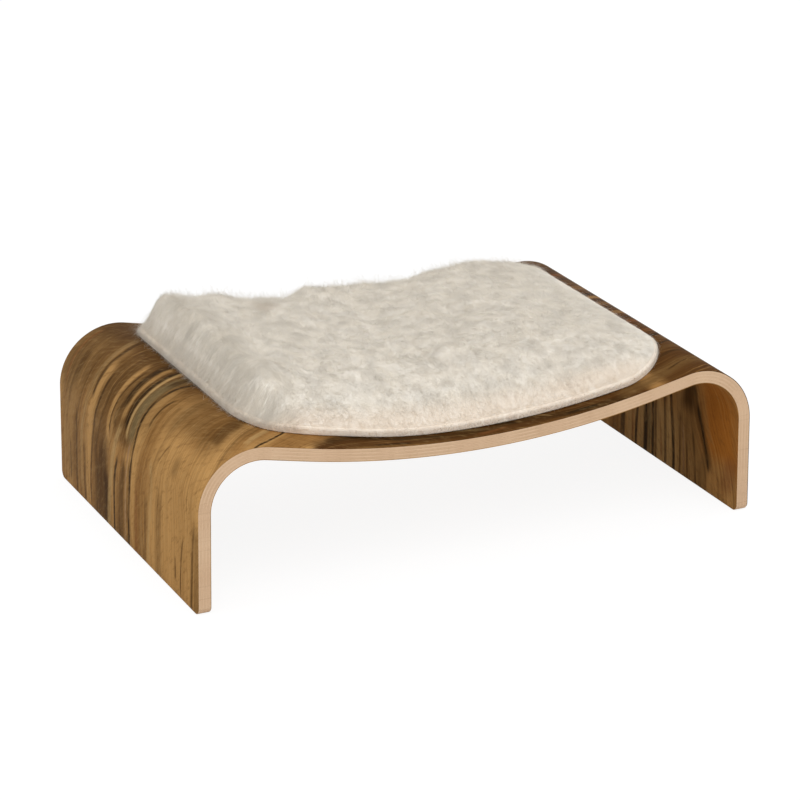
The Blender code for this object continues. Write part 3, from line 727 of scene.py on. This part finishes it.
def figured_veneer(name, ways, lines, seed):
    """Brown figured veneer: long golden and brown streaks with near-black lines, pores and a satin finish."""
    recipe = Recipe(name)
    along, across = recipe.flat_place()
    drift = recipe.put("ShaderNodeMix", {"data_type": "FLOAT"}, Factor=recipe.ramp(across, *FRONT_WAY_TAKES_OVER))
    recipe.feed(drift.inputs["A"], way_across(recipe, along, ways[0]))
    recipe.feed(drift.inputs["B"], way_across(recipe, along, ways[1]))
    slow = recipe.sum("SUBTRACT", recipe.grain(along, across, 12, 22, 2, 0.5, 3.1 + seed), 0.5)
    quick = recipe.sum("SUBTRACT", recipe.grain(along, across, 70, 240, 2, 0.5, 7.7 + seed), 0.5)
    wander = recipe.sum("ADD", recipe.sum("MULTIPLY", slow, WANDER_SLOW), recipe.sum("MULTIPLY", quick, WANDER_QUICK))
    drawn_across = recipe.sum("ADD", across, wander)
    place = recipe.sum("ADD", recipe.sum("SUBTRACT", across, drift.outputs[0]), recipe.sum("MULTIPLY", wander, 2.0))

    broad = recipe.grain(along, place, 3.0, 26, 3, 0.55, 1.3 + seed)
    streak = recipe.grain(along, place, 4.5, 110, 4, 0.6, 5.9 + seed)
    fine = recipe.grain(along, place, 14, 640, 3, 0.6, 9.2 + seed)
    colour = recipe.blend(recipe.ramp(broad, 0.36, 0.64), HONEY, GOLD)
    colour = recipe.tint(colour, BROWN, streak, 0.54, 0.70, 0.60)
    colour = recipe.tint(colour, STRAW, streak, 0.42, 0.30, 0.35)
    colour = drawn_lines(recipe, colour, along, drawn_across, lines)
    thread = recipe.grain(along, place, 6, 270, 4, 0.62, 12.1 + seed)
    colour = recipe.tint(colour, UMBER, thread, 0.52, 0.72, 0.42)
    colour = recipe.tint(colour, GOLD, thread, 0.44, 0.28, 0.34)
    mottle = recipe.grain(recipe.sum("ADD", along, across), recipe.sum("SUBTRACT", across, along), 210, 60, 4, 0.65,
                          4.4 + seed)
    colour = recipe.tint(colour, COCOA, mottle, 0.50, 0.72, 0.34)
    left_of_end = recipe.ramp(along, 0.200, 0.165)
    pale = recipe.sum("MULTIPLY", recipe.ramp(mottle, 0.50, 0.30, 0, 0.18), left_of_end)
    colour = recipe.blend(pale, colour, STRAW)
    colour = recipe.tint(colour, UMBER, fine, 0.46, 0.76, 0.32)
    colour = recipe.tint(colour, STRAW, fine, 0.46, 0.24, 0.14)
    pore = recipe.ramp(recipe.grain(along, place, 150, 2400, 2, 0.5, 2.4 + seed), 0.64, 0.74)
    colour = recipe.blend(recipe.sum("MULTIPLY", pore, 0.35), colour, INK)
    height = recipe.sum("SUBTRACT", recipe.sum("MULTIPLY", fine, 0.35), recipe.sum("MULTIPLY", pore, 0.5))
    recipe.raise_by(height, 0.00012, 0.6)
    rough = recipe.ramp(fine, 0.2, 0.8, 0.46, 0.58, "LINEAR")
    return recipe.surface(Base_Color=colour, Roughness=rough, Specular_IOR_Level=0.008)


def ply_edge(name, light, dark, seed):
    """Pale core ply: fine darker flecks drawn out along the board."""
    recipe = Recipe(name)
    along, across = recipe.flat_place()
    here = recipe.put("ShaderNodeTexCoord").outputs["Object"]
    up = recipe.put("ShaderNodeSeparateXYZ", Vector=here).outputs[2]
    cloud = recipe.grain(along, across, 26, 300, 4, 0.65, seed)
    place = recipe.at(recipe.sum("MULTIPLY", along, 420), recipe.sum("MULTIPLY", across, 900),
                      recipe.sum("MULTIPLY", up, 1500))
    fleck = recipe.put("ShaderNodeTexNoise", Vector=place, Scale=1.0, Detail=3.0, Roughness=0.6).outputs[0]
    colour = recipe.blend(recipe.ramp(cloud, 0.35, 0.70), light, dark)
    colour = recipe.tint(colour, PLY_FLECK, fleck, 0.56, 0.74, 0.35)
    recipe.raise_by(fleck, 0.00008, 0.5)
    return recipe.surface(Base_Color=colour, Roughness=0.62, Specular_IOR_Level=0.3)


def make_board():
    """The bent board: two face veneers and seven core plies, the plies taking long-grain and cross-grain tones in turn.
    """
    outer = figured_veneer("outer figured veneer", OUTER_WAYS, OUTER_LINES, 0.0)
    inner = figured_veneer("inner figured veneer", INNER_WAYS, INNER_LINES, 20.0)
    long_ply = ply_edge("ply, long grain", *LONG_PLY, 4.0)
    cross_ply = ply_edge("ply, cross grain", *CROSS_PLY, 8.0)
    nominal = 2 * float(length_to_floor(np.zeros(1), 0)[0])
    cuts = stations()

    def layer(name, node, height, thickness, ease, lift, slot, material):
        piece = flat_piece(name, nominal, DEPTH, corners=(FOOT_CORNER, FOOT_CORNER))
        cut_across(cuts)
        thicken(piece, thickness)
        ease_edges(piece, ease, 2)
        lay_on_board(piece, height, to_foot=True, lift=lift)
        finish_piece(piece, "board", slot, material, node)

    layer("outer_veneer_sheet", "outer_face_veneer", 0, FACE_VENEER, 0.00025, VENEER_EASE, "figured_veneer", outer)
    height = -FACE_VENEER - GLUE_LINE
    for number in range(1, CORE_PLIES + 1):
        layer(f"ply_sheet_{number}", f"core_ply_{number}", height, CORE_PLY + GLUE_LINE / 2, 0.00006, 0, "pale_ply",
              long_ply if number % 2 else cross_ply)
        height -= CORE_PLY + GLUE_LINE
    layer("inner_veneer_sheet", "inner_face_veneer", height, FACE_VENEER, 0.00025, VENEER_EASE,
          "figured_veneer", inner)


# The pad

def pad_sheet(name, inset, corner_steps=14):
    """The pad's outline, drawn in by inset, flat and in edit mode."""
    corners = (PAD_FRONT_CORNER - inset, PAD_BACK_CORNER - inset)
    piece = flat_piece(name, PAD_LENGTH - 2 * inset, PAD_DEPTH - 2 * inset, PAD_SHIFT, corners, corner_steps)
    reach = PAD_LENGTH / 2 - inset
    cut_across([s for s in stations() if abs(s - PAD_SHIFT) < reach - CLEARANCE])
    return piece


def woven(name, light, dark, threads, depth):
    """Plain woven or knitted cloth: rounded threads over and under, with a little unevenness."""
    recipe = Recipe(name)
    along, across = recipe.flat_place()
    warp = recipe.sum("SINE", recipe.sum("MULTIPLY", along, threads * 2 * math.pi))
    weft = recipe.sum("SINE", recipe.sum("MULTIPLY", across, threads * 2 * math.pi))
    weave = recipe.sum("MULTIPLY_ADD", recipe.sum("MULTIPLY", warp, weft), 0.5, 0.5)
    cloud = recipe.grain(along, across, 60, 60, 4, 0.6, 1.0)
    colour = recipe.blend(recipe.sum("MULTIPLY", weave, cloud), dark, light)
    recipe.raise_by(recipe.sum("ADD", weave, cloud), depth, 0.8)
    return recipe.surface(Base_Color=colour, Roughness=0.9, Sheen_Weight=0.15, Sheen_Roughness=0.5)


def tape_places():
    """Middle of each patch of touch tape, in s and y."""
    reach_s = PAD_LENGTH / 2 - TAPE_INSET_S
    reach_y = PAD_DEPTH / 2 - TAPE_INSET_Y
    return [(PAD_SHIFT + i * reach_s, j * reach_y) for i in (-1, 1) for j in (-1, 1)]


def over_tape(face):
    middle = face.calc_center_median()
    return any(abs(middle.x - s) < POCKET_HALF[0] and abs(middle.y - y) < POCKET_HALF[1] for s, y in tape_places())


def cut_round_tape():
    for axis in (0, 1):
        cut_across(sorted({place[axis] + k * POCKET_HALF[axis] for place in tape_places() for k in (-1, 1)}), axis)


def make_underside():
    """Base cloth with windows for the loop patches, and the foam above it with shallow pockets."""
    inset = BINDING_WIDTH + CLEARANCE
    cloth = woven("base cloth weave", srgb(216, 206, 192), srgb(176, 164, 148), 900, 0.0002)
    piece = pad_sheet("pad_underside_cloth", inset)
    cut_round_tape()
    choose(piece, "FACE", over_tape)
    bpy.ops.mesh.delete(type="FACE")
    thicken(piece, BASE_CLOTH)
    lay_on_board(piece, BASE_BOTTOM + BASE_CLOTH, drawn=True)
    finish_piece(piece, "pad", "base_cloth", cloth, "pad_base_cloth")

    foam = woven("foam", srgb(236, 226, 202), srgb(214, 202, 176), 350, 0.0003)
    piece = pad_sheet("pad_filling", inset)
    cut_round_tape()
    thicken(piece, FOAM)
    bpy.ops.object.mode_set(mode="EDIT")
    choose(piece, "FACE", lambda face: over_tape(face) and face.calc_center_median().z < -FOAM / 2)
    bpy.ops.mesh.extrude_region_move(TRANSFORM_OT_translate={"value": (0, 0, POCKET_TOP - FOAM_BOTTOM)})
    bpy.ops.object.mode_set(mode="OBJECT")
    lay_on_board(piece, FOAM_BOTTOM + FOAM, drawn=True)
    finish_piece(piece, "pad", "foam", foam, "pad_foam")


def make_tape():
    """Hook patches stuck on the seat and loop patches on the pad's underside."""
    hooks = woven("hook tape", srgb(214, 206, 192), srgb(150, 142, 128), 420, 0.0006)
    loops = woven("loop tape", srgb(228, 220, 206), srgb(180, 172, 158), 260, 0.0006)
    for number, (s, y) in enumerate(tape_places(), start=1):
        for name, top, body, slot, material in (
                ("hook", HOOK_BOTTOM + TAPE_THICKNESS, "board", "hook_nylon", hooks),
                ("loop", LOOP_BOTTOM + TAPE_THICKNESS, "pad", "loop_knit", loops)):
            piece = flat_piece(f"{name}_tape_{number}", TAPE_ALONG, TAPE_ACROSS, corners=(0.002, 0.002),
                               corner_steps=4)
            bpy.ops.mesh.select_all(action="SELECT")
            bpy.ops.transform.translate(value=(s, y, 0))
            cut_across([c for c in stations() if abs(c - s) < TAPE_ALONG / 2])
            thicken(piece, TAPE_THICKNESS)
            ease_edges(piece, 0.0002)
            lay_on_board(piece, top)
            finish_piece(piece, body, slot, material, f"{name}_patch_{number}")


def make_binding():
    """Edge binding: a ring of soft cloth with a rounded outer side, closed round the pad's layers."""
    recipe = Recipe("binding cloth")
    along, across = recipe.flat_place()
    nap = recipe.grain(along, across, 900, 900, 4, 0.65, 2.0)
    cloud = recipe.grain(along, across, 60, 60, 3, 0.5, 6.0)
    colour = recipe.blend(recipe.ramp(cloud, 0.35, 0.65), BINDING_SHADE, BINDING_CREAM)
    recipe.raise_by(nap, 0.0003, 0.5)
    binding = recipe.surface(Base_Color=colour, Roughness=0.9, Specular_IOR_Level=0.2, Sheen_Weight=0.2,
                             Sheen_Roughness=0.5)

    piece = pad_sheet("pad_edge_roll", 0, 20)
    thicken(piece, RIM_TOP - BASE_BOTTOM)
    bpy.ops.object.mode_set(mode="EDIT")
    choose(piece, "FACE", lambda face: abs(face.normal.z) > 0.5)
    bpy.ops.mesh.inset(thickness=BINDING_WIDTH, use_even_offset=True)
    bpy.ops.mesh.delete(type="FACE")
    choose(piece, "EDGE", lambda edge: edge.is_boundary)
    bpy.ops.mesh.bridge_edge_loops()
    for level, width, steps in ((0, BINDING_ROUND, 6), (BASE_BOTTOM - RIM_TOP, BINDING_FOOT, 3)):
        choose(piece, "EDGE", lambda edge: all(abs(v.co.z - level) < 1e-5 and edge_distance(v.co.x, v.co.y) < 1e-4
                                               for v in edge.verts))
        bpy.ops.mesh.bevel(offset=width, segments=steps, profile=0.5, affect="EDGES")
    bpy.ops.object.mode_set(mode="OBJECT")
    lay_on_board(piece, RIM_TOP, drawn=True)
    finish_piece(piece, "pad", "binding", binding, "pad_edge_binding", smooth=50)


# The pile

def corner_radius(y):
    return np.where(np.asarray(y) < 0, PAD_FRONT_CORNER, PAD_BACK_CORNER)


def edge_distance(s, y):
    """Distance inwards from the pad's outline."""
    corner = corner_radius(y)
    along = np.abs(np.asarray(s) - PAD_SHIFT) - (PAD_LENGTH / 2 - corner)
    across = np.abs(y) - (PAD_DEPTH / 2 - corner)
    outside = np.hypot(np.maximum(along, 0), np.maximum(across, 0))
    return corner - outside - np.minimum(np.maximum(along, across), 0)


def outwards(s, y, step):
    """Way to the nearest part of the pad's outline, of length 1."""
    out_s = edge_distance(s - step, y) - edge_distance(s + step, y)
    out_y = edge_distance(s, y - step) - edge_distance(s, y + step)
    size = np.maximum(np.hypot(out_s, out_y), 1e-12)
    return out_s / size, out_y / size


def swell(distance, run):
    """Rises from 0 at the edge to 1 at the end of a run, rounding off."""
    return 1 - (1 - np.clip(distance / run, 0, 1)) ** 2


def soft_noise(s, y, size, seed):
    """Smooth seeded noise from -1 to 1 at flat places."""
    table = np.random.default_rng(seed).uniform(-1, 1, (128, 128))
    u, v = s / size + 64, y / size + 64
    i, j = np.floor(u).astype(int) % 127, np.floor(v).astype(int) % 127
    f, g = u - np.floor(u), v - np.floor(v)
    f, g = f * f * (3 - 2 * f), g * g * (3 - 2 * g)
    near = table[i, j] * (1 - f) + table[i + 1, j] * f
    far = table[i, j + 1] * (1 - f) + table[i + 1, j + 1] * f
    return near * (1 - g) + far * g


def coat_height(s, y):
    """Height over the rim of the dense coat that the long hairs lie on: steep at the left and back, long and low to
    the right and front, with its tufts and hollows."""
    half_length, half_depth = PAD_LENGTH / 2 - COAT_INSET, PAD_DEPTH / 2 - COAT_INSET
    corner = corner_radius(y)
    into_corner = np.clip((np.abs(s - PAD_SHIFT) - PAD_LENGTH / 2) / corner + 1, 0, 1)
    into_corner = into_corner * np.clip((np.abs(y) - PAD_DEPTH / 2) / corner + 1, 0, 1)
    share = swell(edge_distance(s, y) - COAT_INSET, PILE_SEAM_RUN + PILE_CORNER_RUN * corner * into_corner)
    share = share * swell(half_length + s - PAD_SHIFT, PILE_LEFT) * swell(half_length - s + PAD_SHIFT, PILE_RIGHT)
    share = share * swell(half_depth + y, PILE_FRONT) * swell(half_depth - y, PILE_BACK)
    tufts = 0
    for reach, rows in ((TUFT_REACH, TUFTS), (FINE_REACH, FINE_TUFTS)):
        for along, across, strength in rows:
            away = np.hypot(s - PAD_SHIFT - along * PAD_LENGTH, y - across * PAD_DEPTH)
            tufts = tufts + strength * np.exp(-(away / reach) ** 2 / 2)
    small = sum(height * soft_noise(s, y, size, seed) for height, size, seed in RIPPLES)
    return (COAT_CROWN + TUFT_RISE * tufts + small) * share


def on_pad(s, y, height):
    """World points of flat places at heights over the rim."""
    return on_board(draw_in(np.stack([s, y, RIM_TOP + height], axis=-1)))


def coat_frame(s, y):
    """Unit vectors along, across and out of the coat at flat places."""
    step = 0.002
    along = on_pad(s + step, y, coat_height(s + step, y)) - on_pad(s - step, y, coat_height(s - step, y))
    across = on_pad(s, y + step, coat_height(s, y + step)) - on_pad(s, y - step, coat_height(s, y - step))
    out = np.cross(along, across)
    return [way / np.maximum(np.linalg.norm(way, axis=-1, keepdims=True), 1e-12) for way in (along, across, out)]


def bake_place(s, y):
    """Places of the coat on its own flat map, from 0 to 1."""
    return np.stack([0.5 + (s - PAD_SHIFT) / PAD_LENGTH * 0.94, 0.5 + y / PAD_LENGTH * 0.94], axis=-1)


def make_coat():
    """The dense short coat: a crowned closed form that covers the seam and fills the binding."""
    piece = pad_sheet("long_pile", COAT_INSET, 12)
    bpy.ops.mesh.select_mode(type="FACE")
    bpy.ops.mesh.select_all(action="SELECT")
    bpy.ops.mesh.dissolve_limited(angle_limit=0.01)
    bpy.ops.mesh.inset(thickness=BINDING_WIDTH + CLEARANCE - COAT_INSET, use_even_offset=True)
    reach_s, reach_y = int(PAD_LENGTH / 2 / COAT_STEP), int(PAD_DEPTH / 2 / COAT_STEP)
    cut_across([PAD_SHIFT + k * COAT_STEP for k in range(-reach_s, reach_s + 1)], 0)
    cut_across([k * COAT_STEP for k in range(-reach_y, reach_y + 1)], 1)
    thicken(piece, PILE_BACKING)
    flat = read(piece.data.vertices, "co", 3)
    s, y = flat[:, 0], flat[:, 1]
    top = flat[:, 2] > -PILE_BACKING / 2
    within = edge_distance(s, y) > BINDING_WIDTH + 2 * CLEARANCE
    lip = CLEARANCE / 5
    under = np.where(within, -PILE_BACKING, lip)
    flat[:, 2] = RIM_TOP + np.where(top, np.maximum(coat_height(s, y), 3 * lip), under)
    keep_flat_map(piece, flat)
    write_points(piece, on_board(draw_in(flat)))
    shrink = np.where(top, 1, 0.985)
    place = bake_place(s * shrink, y * shrink)[read_corners(piece)]
    piece.data.uv_layers.new(name="hair")
    piece.data.uv_layers.new(name="OFBake").uv.foreach_set("vector", place.astype(np.float32).ravel())
    return piece


def hair_way(s, y):
    """Way that the pile lies, as an angle: outwards near the rim, to the front left elsewhere, in broad swirls."""
    out_s, out_y = outwards(s, y, 0.004)
    near = 0.9 * np.exp(-np.maximum(edge_distance(s, y), 0) / 0.022)
    way = np.arctan2(near * out_y - 0.8, near * out_s - 0.6)
    return way + 0.9 * soft_noise(s, y, 0.045, 21) + 0.4 * soft_noise(s, y, 0.018, 22)


def locks(s, y, lock_size):
    """The lock of pile that each place belongs to: its middle (s, y), and its turn, length and lift from -1 to 1."""
    u = s + 0.0030 * soft_noise(s, y, 0.007, 51)
    v = y + 0.0030 * soft_noise(s, y, 0.007, 52)
    i, j = np.floor(u / lock_size).astype(int), np.floor(v / lock_size).astype(int)
    ragged = np.random.default_rng(53).uniform(-1, 1, (5, 128, 128))[:, i % 128, j % 128]
    return (i + 0.5 + 0.3 * ragged[0]) * lock_size, (j + 0.5 + 0.3 * ragged[1]) * lock_size, *ragged[2:]


def over_rim(s, y, height):
    """World points of flat places at heights over the coat. Past the binding's shoulder they go round it and down
    its side."""
    out_s, out_y = outwards(s, y, 0.0005)
    past = np.maximum(BINDING_ROUND - edge_distance(s, y), 0)
    turn = np.minimum(past / BINDING_ROUND, math.pi / 2)
    down = BINDING_ROUND * (1 - np.cos(turn)) + np.maximum(past - BINDING_ROUND * math.pi / 2, 0)
    out = (BINDING_ROUND + height) * np.sin(turn) - past
    level = coat_height(s.ravel(), y.ravel()).reshape(s.shape)
    return on_pad(s + out * out_s, y + out * out_y, level + height * np.cos(turn) - down)


def hair_places(rng, count, points, run, lift, scatter, drawn, lock, until):
    """Roots (s, y), ways and paths of hairs: each runs over the coat its own way or with its lock, rises to its lift,
    and near the outline lies down over the binding."""
    s = PAD_SHIFT + rng.uniform(-0.52, until, count) * PAD_LENGTH
    y = rng.uniform(-0.53, 0.53, count) * PAD_DEPTH
    inside = edge_distance(s, y) > 0.0012 - RIM_REACH
    s, y = s[inside], y[inside]
    count = len(s)
    left = np.clip((LEFT_FLANK[0] - s) / LEFT_FLANK[1], 0, 1)
    back = np.clip((y - BACK_FLANK[0]) / BACK_FLANK[1], 0, 1)
    longer = 1 + LONGER_LEFT * left
    lock_s, lock_y, turn, long, high = locks(s, y, lock)
    own = hair_way(s, y) + rng.normal(0, scatter, count)
    length = rng.uniform(*run, count) * longer
    lock_way = hair_way(lock_s, lock_y) + 0.5 * turn
    lock_run = sum(run) / 2 * (1.15 + 0.35 * long) * longer
    pull = rng.uniform(*drawn, count)
    ahead_s = (1 - pull) * np.cos(own) * length + pull * (lock_s + np.cos(lock_way) * lock_run - s)
    ahead_y = (1 - pull) * np.sin(own) * length + pull * (lock_y + np.sin(lock_way) * lock_run - y)
    length = np.maximum(np.hypot(ahead_s, ahead_y), 0.002)
    way_s, way_y = ahead_s / length, ahead_y / length
    room, over = edge_distance(s, y), RIM_REACH * rng.uniform(0.45, 1.0, count)
    tip_room = edge_distance(s + way_s * length, y + way_y * length) + over
    kept = np.where(tip_room < 0, (room + over) / np.maximum(room + over - tip_room, 1e-6), 1)
    length = length * np.clip(kept, 0.15, 1)
    flank = np.maximum(back, left)
    rise = rng.uniform(*lift, count) * (1 + 0.2 * high) * (1 + 0.7 * flank + 0.6 * back * left)
    rise = rise * np.clip(room / STAND_UP_RUN, 0.22 + 0.30 * flank, 1)
    above = HAIRS_TOP - rng.uniform(0, 0.005, count) - on_pad(s, y, coat_height(s, y))[:, 2]
    rise = np.minimum(rise, np.maximum(above, 0.001))

    share = np.linspace(0, 1, points)[None, :]
    bend = rng.normal(0, SWAY, (count, 1)) * length[:, None] * np.sin(share * math.pi)
    path_s = s[:, None] + (way_s * length)[:, None] * share - way_y[:, None] * bend
    path_y = y[:, None] + (way_y * length)[:, None] * share + way_s[:, None] * bend
    height = rise[:, None] * (1 - (1 - share) ** 1.6) - 0.0003 * (1 - share)
    return s, y, way_s, way_y, over_rim(path_s, path_y, height)


def hair_mesh(name, seed, width, points, tones=(0.0, 1.0), **measures):
    """Hairs as tapered ribbons, each with its root's flat place, its height along the hair and its own tone."""
    rng = np.random.default_rng(seed)
    s, y, way_s, way_y, path = hair_places(rng, points=points, **measures)
    count = len(s)
    out = coat_frame(s, y)[2]
    forward = path[:, -1] - path[:, 0]
    forward /= np.maximum(np.linalg.norm(forward, axis=1, keepdims=True), 1e-9)
    side = np.cross(forward, out)
    side /= np.maximum(np.linalg.norm(side, axis=1, keepdims=True), 1e-9)
    roll = rng.uniform(-1.0, 1.0, (count, 1))
    side = side * np.cos(roll) + np.cross(forward, side) * np.sin(roll)
    taper = np.linspace(1.0, 0.45, points - 1)[None, :, None]
    half = side[:, None] * width * rng.uniform(0.6, 1.3, (count, 1, 1)) * taper / 2
    per = 2 * (points - 1) + 1
    places = np.empty((count, per, 3))
    places[:, 0:per - 1:2] = path[:, :-1] - half
    places[:, 1:per - 1:2] = path[:, :-1] + half
    places[:, per - 1] = path[:, -1]
    one_hair = [2 * k + corner for k in range(points - 2) for corner in (0, 1, 3, 2)] + [per - 3, per - 2, per - 1]
    corners = ((np.arange(count) * per)[:, None] + np.array(one_hair)).ravel()
    sizes = np.tile([4] * (points - 2) + [3], count)

    mesh = bpy.data.meshes.new(name)
    mesh.vertices.add(count * per)
    mesh.vertices.foreach_set("co", places.ravel())
    mesh.loops.add(len(corners))
    mesh.loops.foreach_set("vertex_index", corners)
    mesh.polygons.add(len(sizes))
    mesh.polygons.foreach_set("loop_start", np.concatenate([[0], np.cumsum(sizes)[:-1]]))
    mesh.update(calc_edges=True)
    mesh.shade_smooth()

    up = np.tile(np.repeat(np.linspace(0, 1, points), 2)[:per], count)
    edge = np.tile(np.array([-1.0, 1.0] * (points - 1) + [0.0]), count)
    which = np.repeat(np.arange(count), per)
    tone = rng.uniform(*tones, count)
    ahead, aside = up * HAIR_ON_MAP[0], edge * HAIR_ON_MAP[1]
    root_s = s[which] + (way_s[which] * ahead - way_y[which] * aside) / 1000
    root_y = y[which] + (way_y[which] * ahead + way_s[which] * aside) / 1000
    for layer, values in (("flat", np.stack([root_s, root_y], axis=-1)),
                          ("hair", np.stack([0.05 + 0.95 * up, tone[which]], axis=-1)),
                          ("OFBake", bake_place(root_s, root_y))):
        mesh.uv_layers.new(name=layer).uv.foreach_set("vector", values[corners].astype(np.float32).ravel())
    piece = bpy.data.objects.new(name, mesh)
    bpy.context.scene.collection.objects.link(piece)
    return piece


# Size of the patches in which the pile's shading leans one way
LEAN_SIZE = 0.013


def soften_shading(piece):
    """Gives every hair the shading of the coat under it, so that the pile catches the light as one soft mass."""
    mesh = piece.data
    flat = read(mesh.uv_layers["flat"].uv, "vector", 2, np.float32).astype(float)
    up = read(mesh.uv_layers["hair"].uv, "vector", 2, np.float32)
    normals = read(mesh.corner_normals, "vector", 3, np.float32)
    hair = up[:, 0] > 0.01
    s, y = flat[hair, 0], flat[hair, 1]
    out = coat_frame(s, y)[2]
    tone = up[hair, 1:2] - 0.5
    lean = np.stack([soft_noise(s, y, LEAN_SIZE, 61), soft_noise(s, y, LEAN_SIZE, 62), 0 * s], axis=-1)
    left = np.clip((-0.140 - s) / 0.040, 0, 1)[:, None]
    out = (0.62 + 0.10 * left) * out + 0.09 * lean + tone * np.array([[0.10, -0.07, 0.0]])
    out = out + (0.38 - 0.10 * left) * np.array([[0.0, 0.0, 1.0]])
    normals[hair] = out / np.linalg.norm(out, axis=-1, keepdims=True)
    mesh.normals_split_custom_set(normals.tolist())


# Place of the hollow at the back where painted shade darkens the pile
HOLLOW_PAINTED_SHADE = (-0.095, 0.095, 0)


def pile_tone(recipe, along, across):
    """Soft cream and grey clouds of the pile, pinker along the front as painted light reflected from the wood, with
    painted light on the rim and painted shade along the left and in one hollow.
    """
    cloud = recipe.grain(along, across, 62, 62, 2, 0.45, 6.0)
    colour = recipe.blend(recipe.ramp(cloud, 0.36, 0.62), PILE_GREY, PILE_CREAM)
    front_edge, left_edge = -PAD_DEPTH / 2, PAD_SHIFT - PAD_LENGTH / 2
    # Painted reflected light from the wood: the pile turns pinker towards the front edge
    front = recipe.ramp(across, front_edge + 0.026, front_edge + 0.006)
    # Painted shade along the left flank, near the rim
    left = recipe.ramp(along, left_edge + 0.018, left_edge + 0.004, 0, 0.6)
    hollow = recipe.put("ShaderNodeVectorMath", {"operation": "DISTANCE"})
    recipe.fill(hollow, recipe.at(along, across), HOLLOW_PAINTED_SHADE)
    # Painted shade: the pile darkens along the left flank and round the hollow
    painted_shade = recipe.sum("MAXIMUM", left, recipe.ramp(hollow.outputs["Value"], 0.020, 0.005, 0, 0.8))
    colour = recipe.blend(painted_shade, colour, PILE_PAINTED_SHADE)
    colour = recipe.blend(front, colour, PILE_PAINTED_REFLECTION)
    # Painted light on the rim: the front edge and its side turn lighter and warmer
    rim = recipe.ramp(across, front_edge + 0.005, front_edge - 0.001)
    return recipe.blend(rim, colour, PILE_RIM_PAINTED_LIGHT)


def make_pile():
    """The long pile: the dense coat and the hairs on it, joined to one piece."""
    under = Recipe("dense coat")
    along, across = under.flat_place()
    nap = under.grain(along, across, 800, 800, 3, 0.6, 2.0)
    under.raise_by(nap, 0.0006, 0.6)
    coat_finish = under.surface(Base_Color=pile_tone(under, along, across), Roughness=0.9, Specular_IOR_Level=0.1,
                                Sheen_Weight=0.15, Sheen_Roughness=0.6)

    long_hair = Recipe("long pile")
    along, across = long_hair.flat_place()
    hair = long_hair.put("ShaderNodeSeparateXYZ",
                         Vector=long_hair.put("ShaderNodeUVMap", {"uv_map": "hair"}).outputs[0])
    colour = pile_tone(long_hair, along, across)
    colour = long_hair.tint(colour, PILE_LIGHT, hair.outputs[1], 0.0, 1.6, 0.48)
    long_hair.surface(Base_Color=colour, Roughness=0.85, Specular_IOR_Level=0.1)
    through = long_hair.put("ShaderNodeBsdfTranslucent", Color=colour)
    long_hair.show(long_hair.join("ShaderNodeMixShader", long_hair.shader, through, Fac=0.5))

    coat = make_coat()
    finish_piece(coat, "pad", "long_pile", coat_finish, "long_pile_top", smooth=180)
    bpy.ops.object.select_all(action="DESELECT")
    for seed, (name, kind) in enumerate(HAIR_KINDS.items(), start=11):
        hairs = hair_mesh(name, seed, **kind)
        hairs.data.materials.append(long_hair.material)
        hairs.select_set(True)
    coat.select_set(True)
    bpy.context.view_layer.objects.active = coat
    bpy.ops.object.join()
    soften_shading(coat)


# Floor, light and camera

def make_room():
    """White floor that keeps a faint shadow, soft light all round and one large soft lamp above the front."""
    bpy.ops.object.select_all(action="DESELECT")
    bpy.ops.mesh.primitive_plane_add(size=FLOOR_SIZE)
    floor = bpy.context.object
    floor.name = "floor"
    recipe = Recipe("white floor")
    shown = recipe.join("ShaderNodeAddShader", recipe.put("ShaderNodeBsdfDiffuse", Color=FLOOR_DIM),
                        recipe.put("ShaderNodeEmission", Color=(1.0, 1.0, 1.0), Strength=FLOOR_GLOW))
    plain = recipe.put("ShaderNodeBsdfDiffuse", Color=FLOOR_PLAIN)
    recipe.show(recipe.join("ShaderNodeMixShader", plain, shown, Fac=recipe.seen()))
    floor.data.materials.append(recipe.material)

    world = bpy.context.scene.world or bpy.data.worlds.new("World")
    bpy.context.scene.world = world
    world.use_nodes = True
    world.node_tree.nodes.clear()
    nodes = Nodes(world.node_tree)
    light, white = [nodes.put("ShaderNodeBackground", Color=(1.0, 1.0, 1.0), Strength=strength)
                    for strength in (AROUND_LIGHT, 1.0)]
    around = nodes.join("ShaderNodeMixShader", light, white, Fac=nodes.seen())
    nodes.feed(nodes.put("ShaderNodeOutputWorld").inputs["Surface"], around.outputs[0])

    lamp = bpy.data.lights.new("soft lamp", "AREA")
    lamp.shape = "DISK"
    lamp.size = LAMP_SIZE
    lamp.energy = LAMP_POWER
    stand("soft_lamp", lamp, Vector(LAMP_PLACE), Vector(LAMP_AIM) - Vector(LAMP_PLACE))


def stand(name, data, place, way):
    """Stands a lamp or a camera at a place, looking along a way."""
    item = bpy.data.objects.new(name, data)
    item.location = place
    item.rotation_euler = way.to_track_quat("-Z", "Y").to_euler()
    bpy.context.scene.collection.objects.link(item)
    return item


def make_camera():
    """Long lens from the front left, a little above, as in the photograph."""
    flat = math.cos(CAMERA_RISE)
    back = Vector((math.sin(CAMERA_TURN) * flat, -math.cos(CAMERA_TURN) * flat, math.sin(CAMERA_RISE)))
    camera = bpy.data.cameras.new("camera")
    camera.lens = CAMERA_LENS
    camera.sensor_width = 36
    camera.clip_end = 20
    bpy.context.scene.camera = stand("camera", camera, Vector(CAMERA_TARGET) + back * CAMERA_DISTANCE, -back)


make_camera()
make_board()
make_tape()
make_underside()
make_binding()
make_pile()
make_room()
bpy.context.scene.view_settings.view_transform = "Standard"
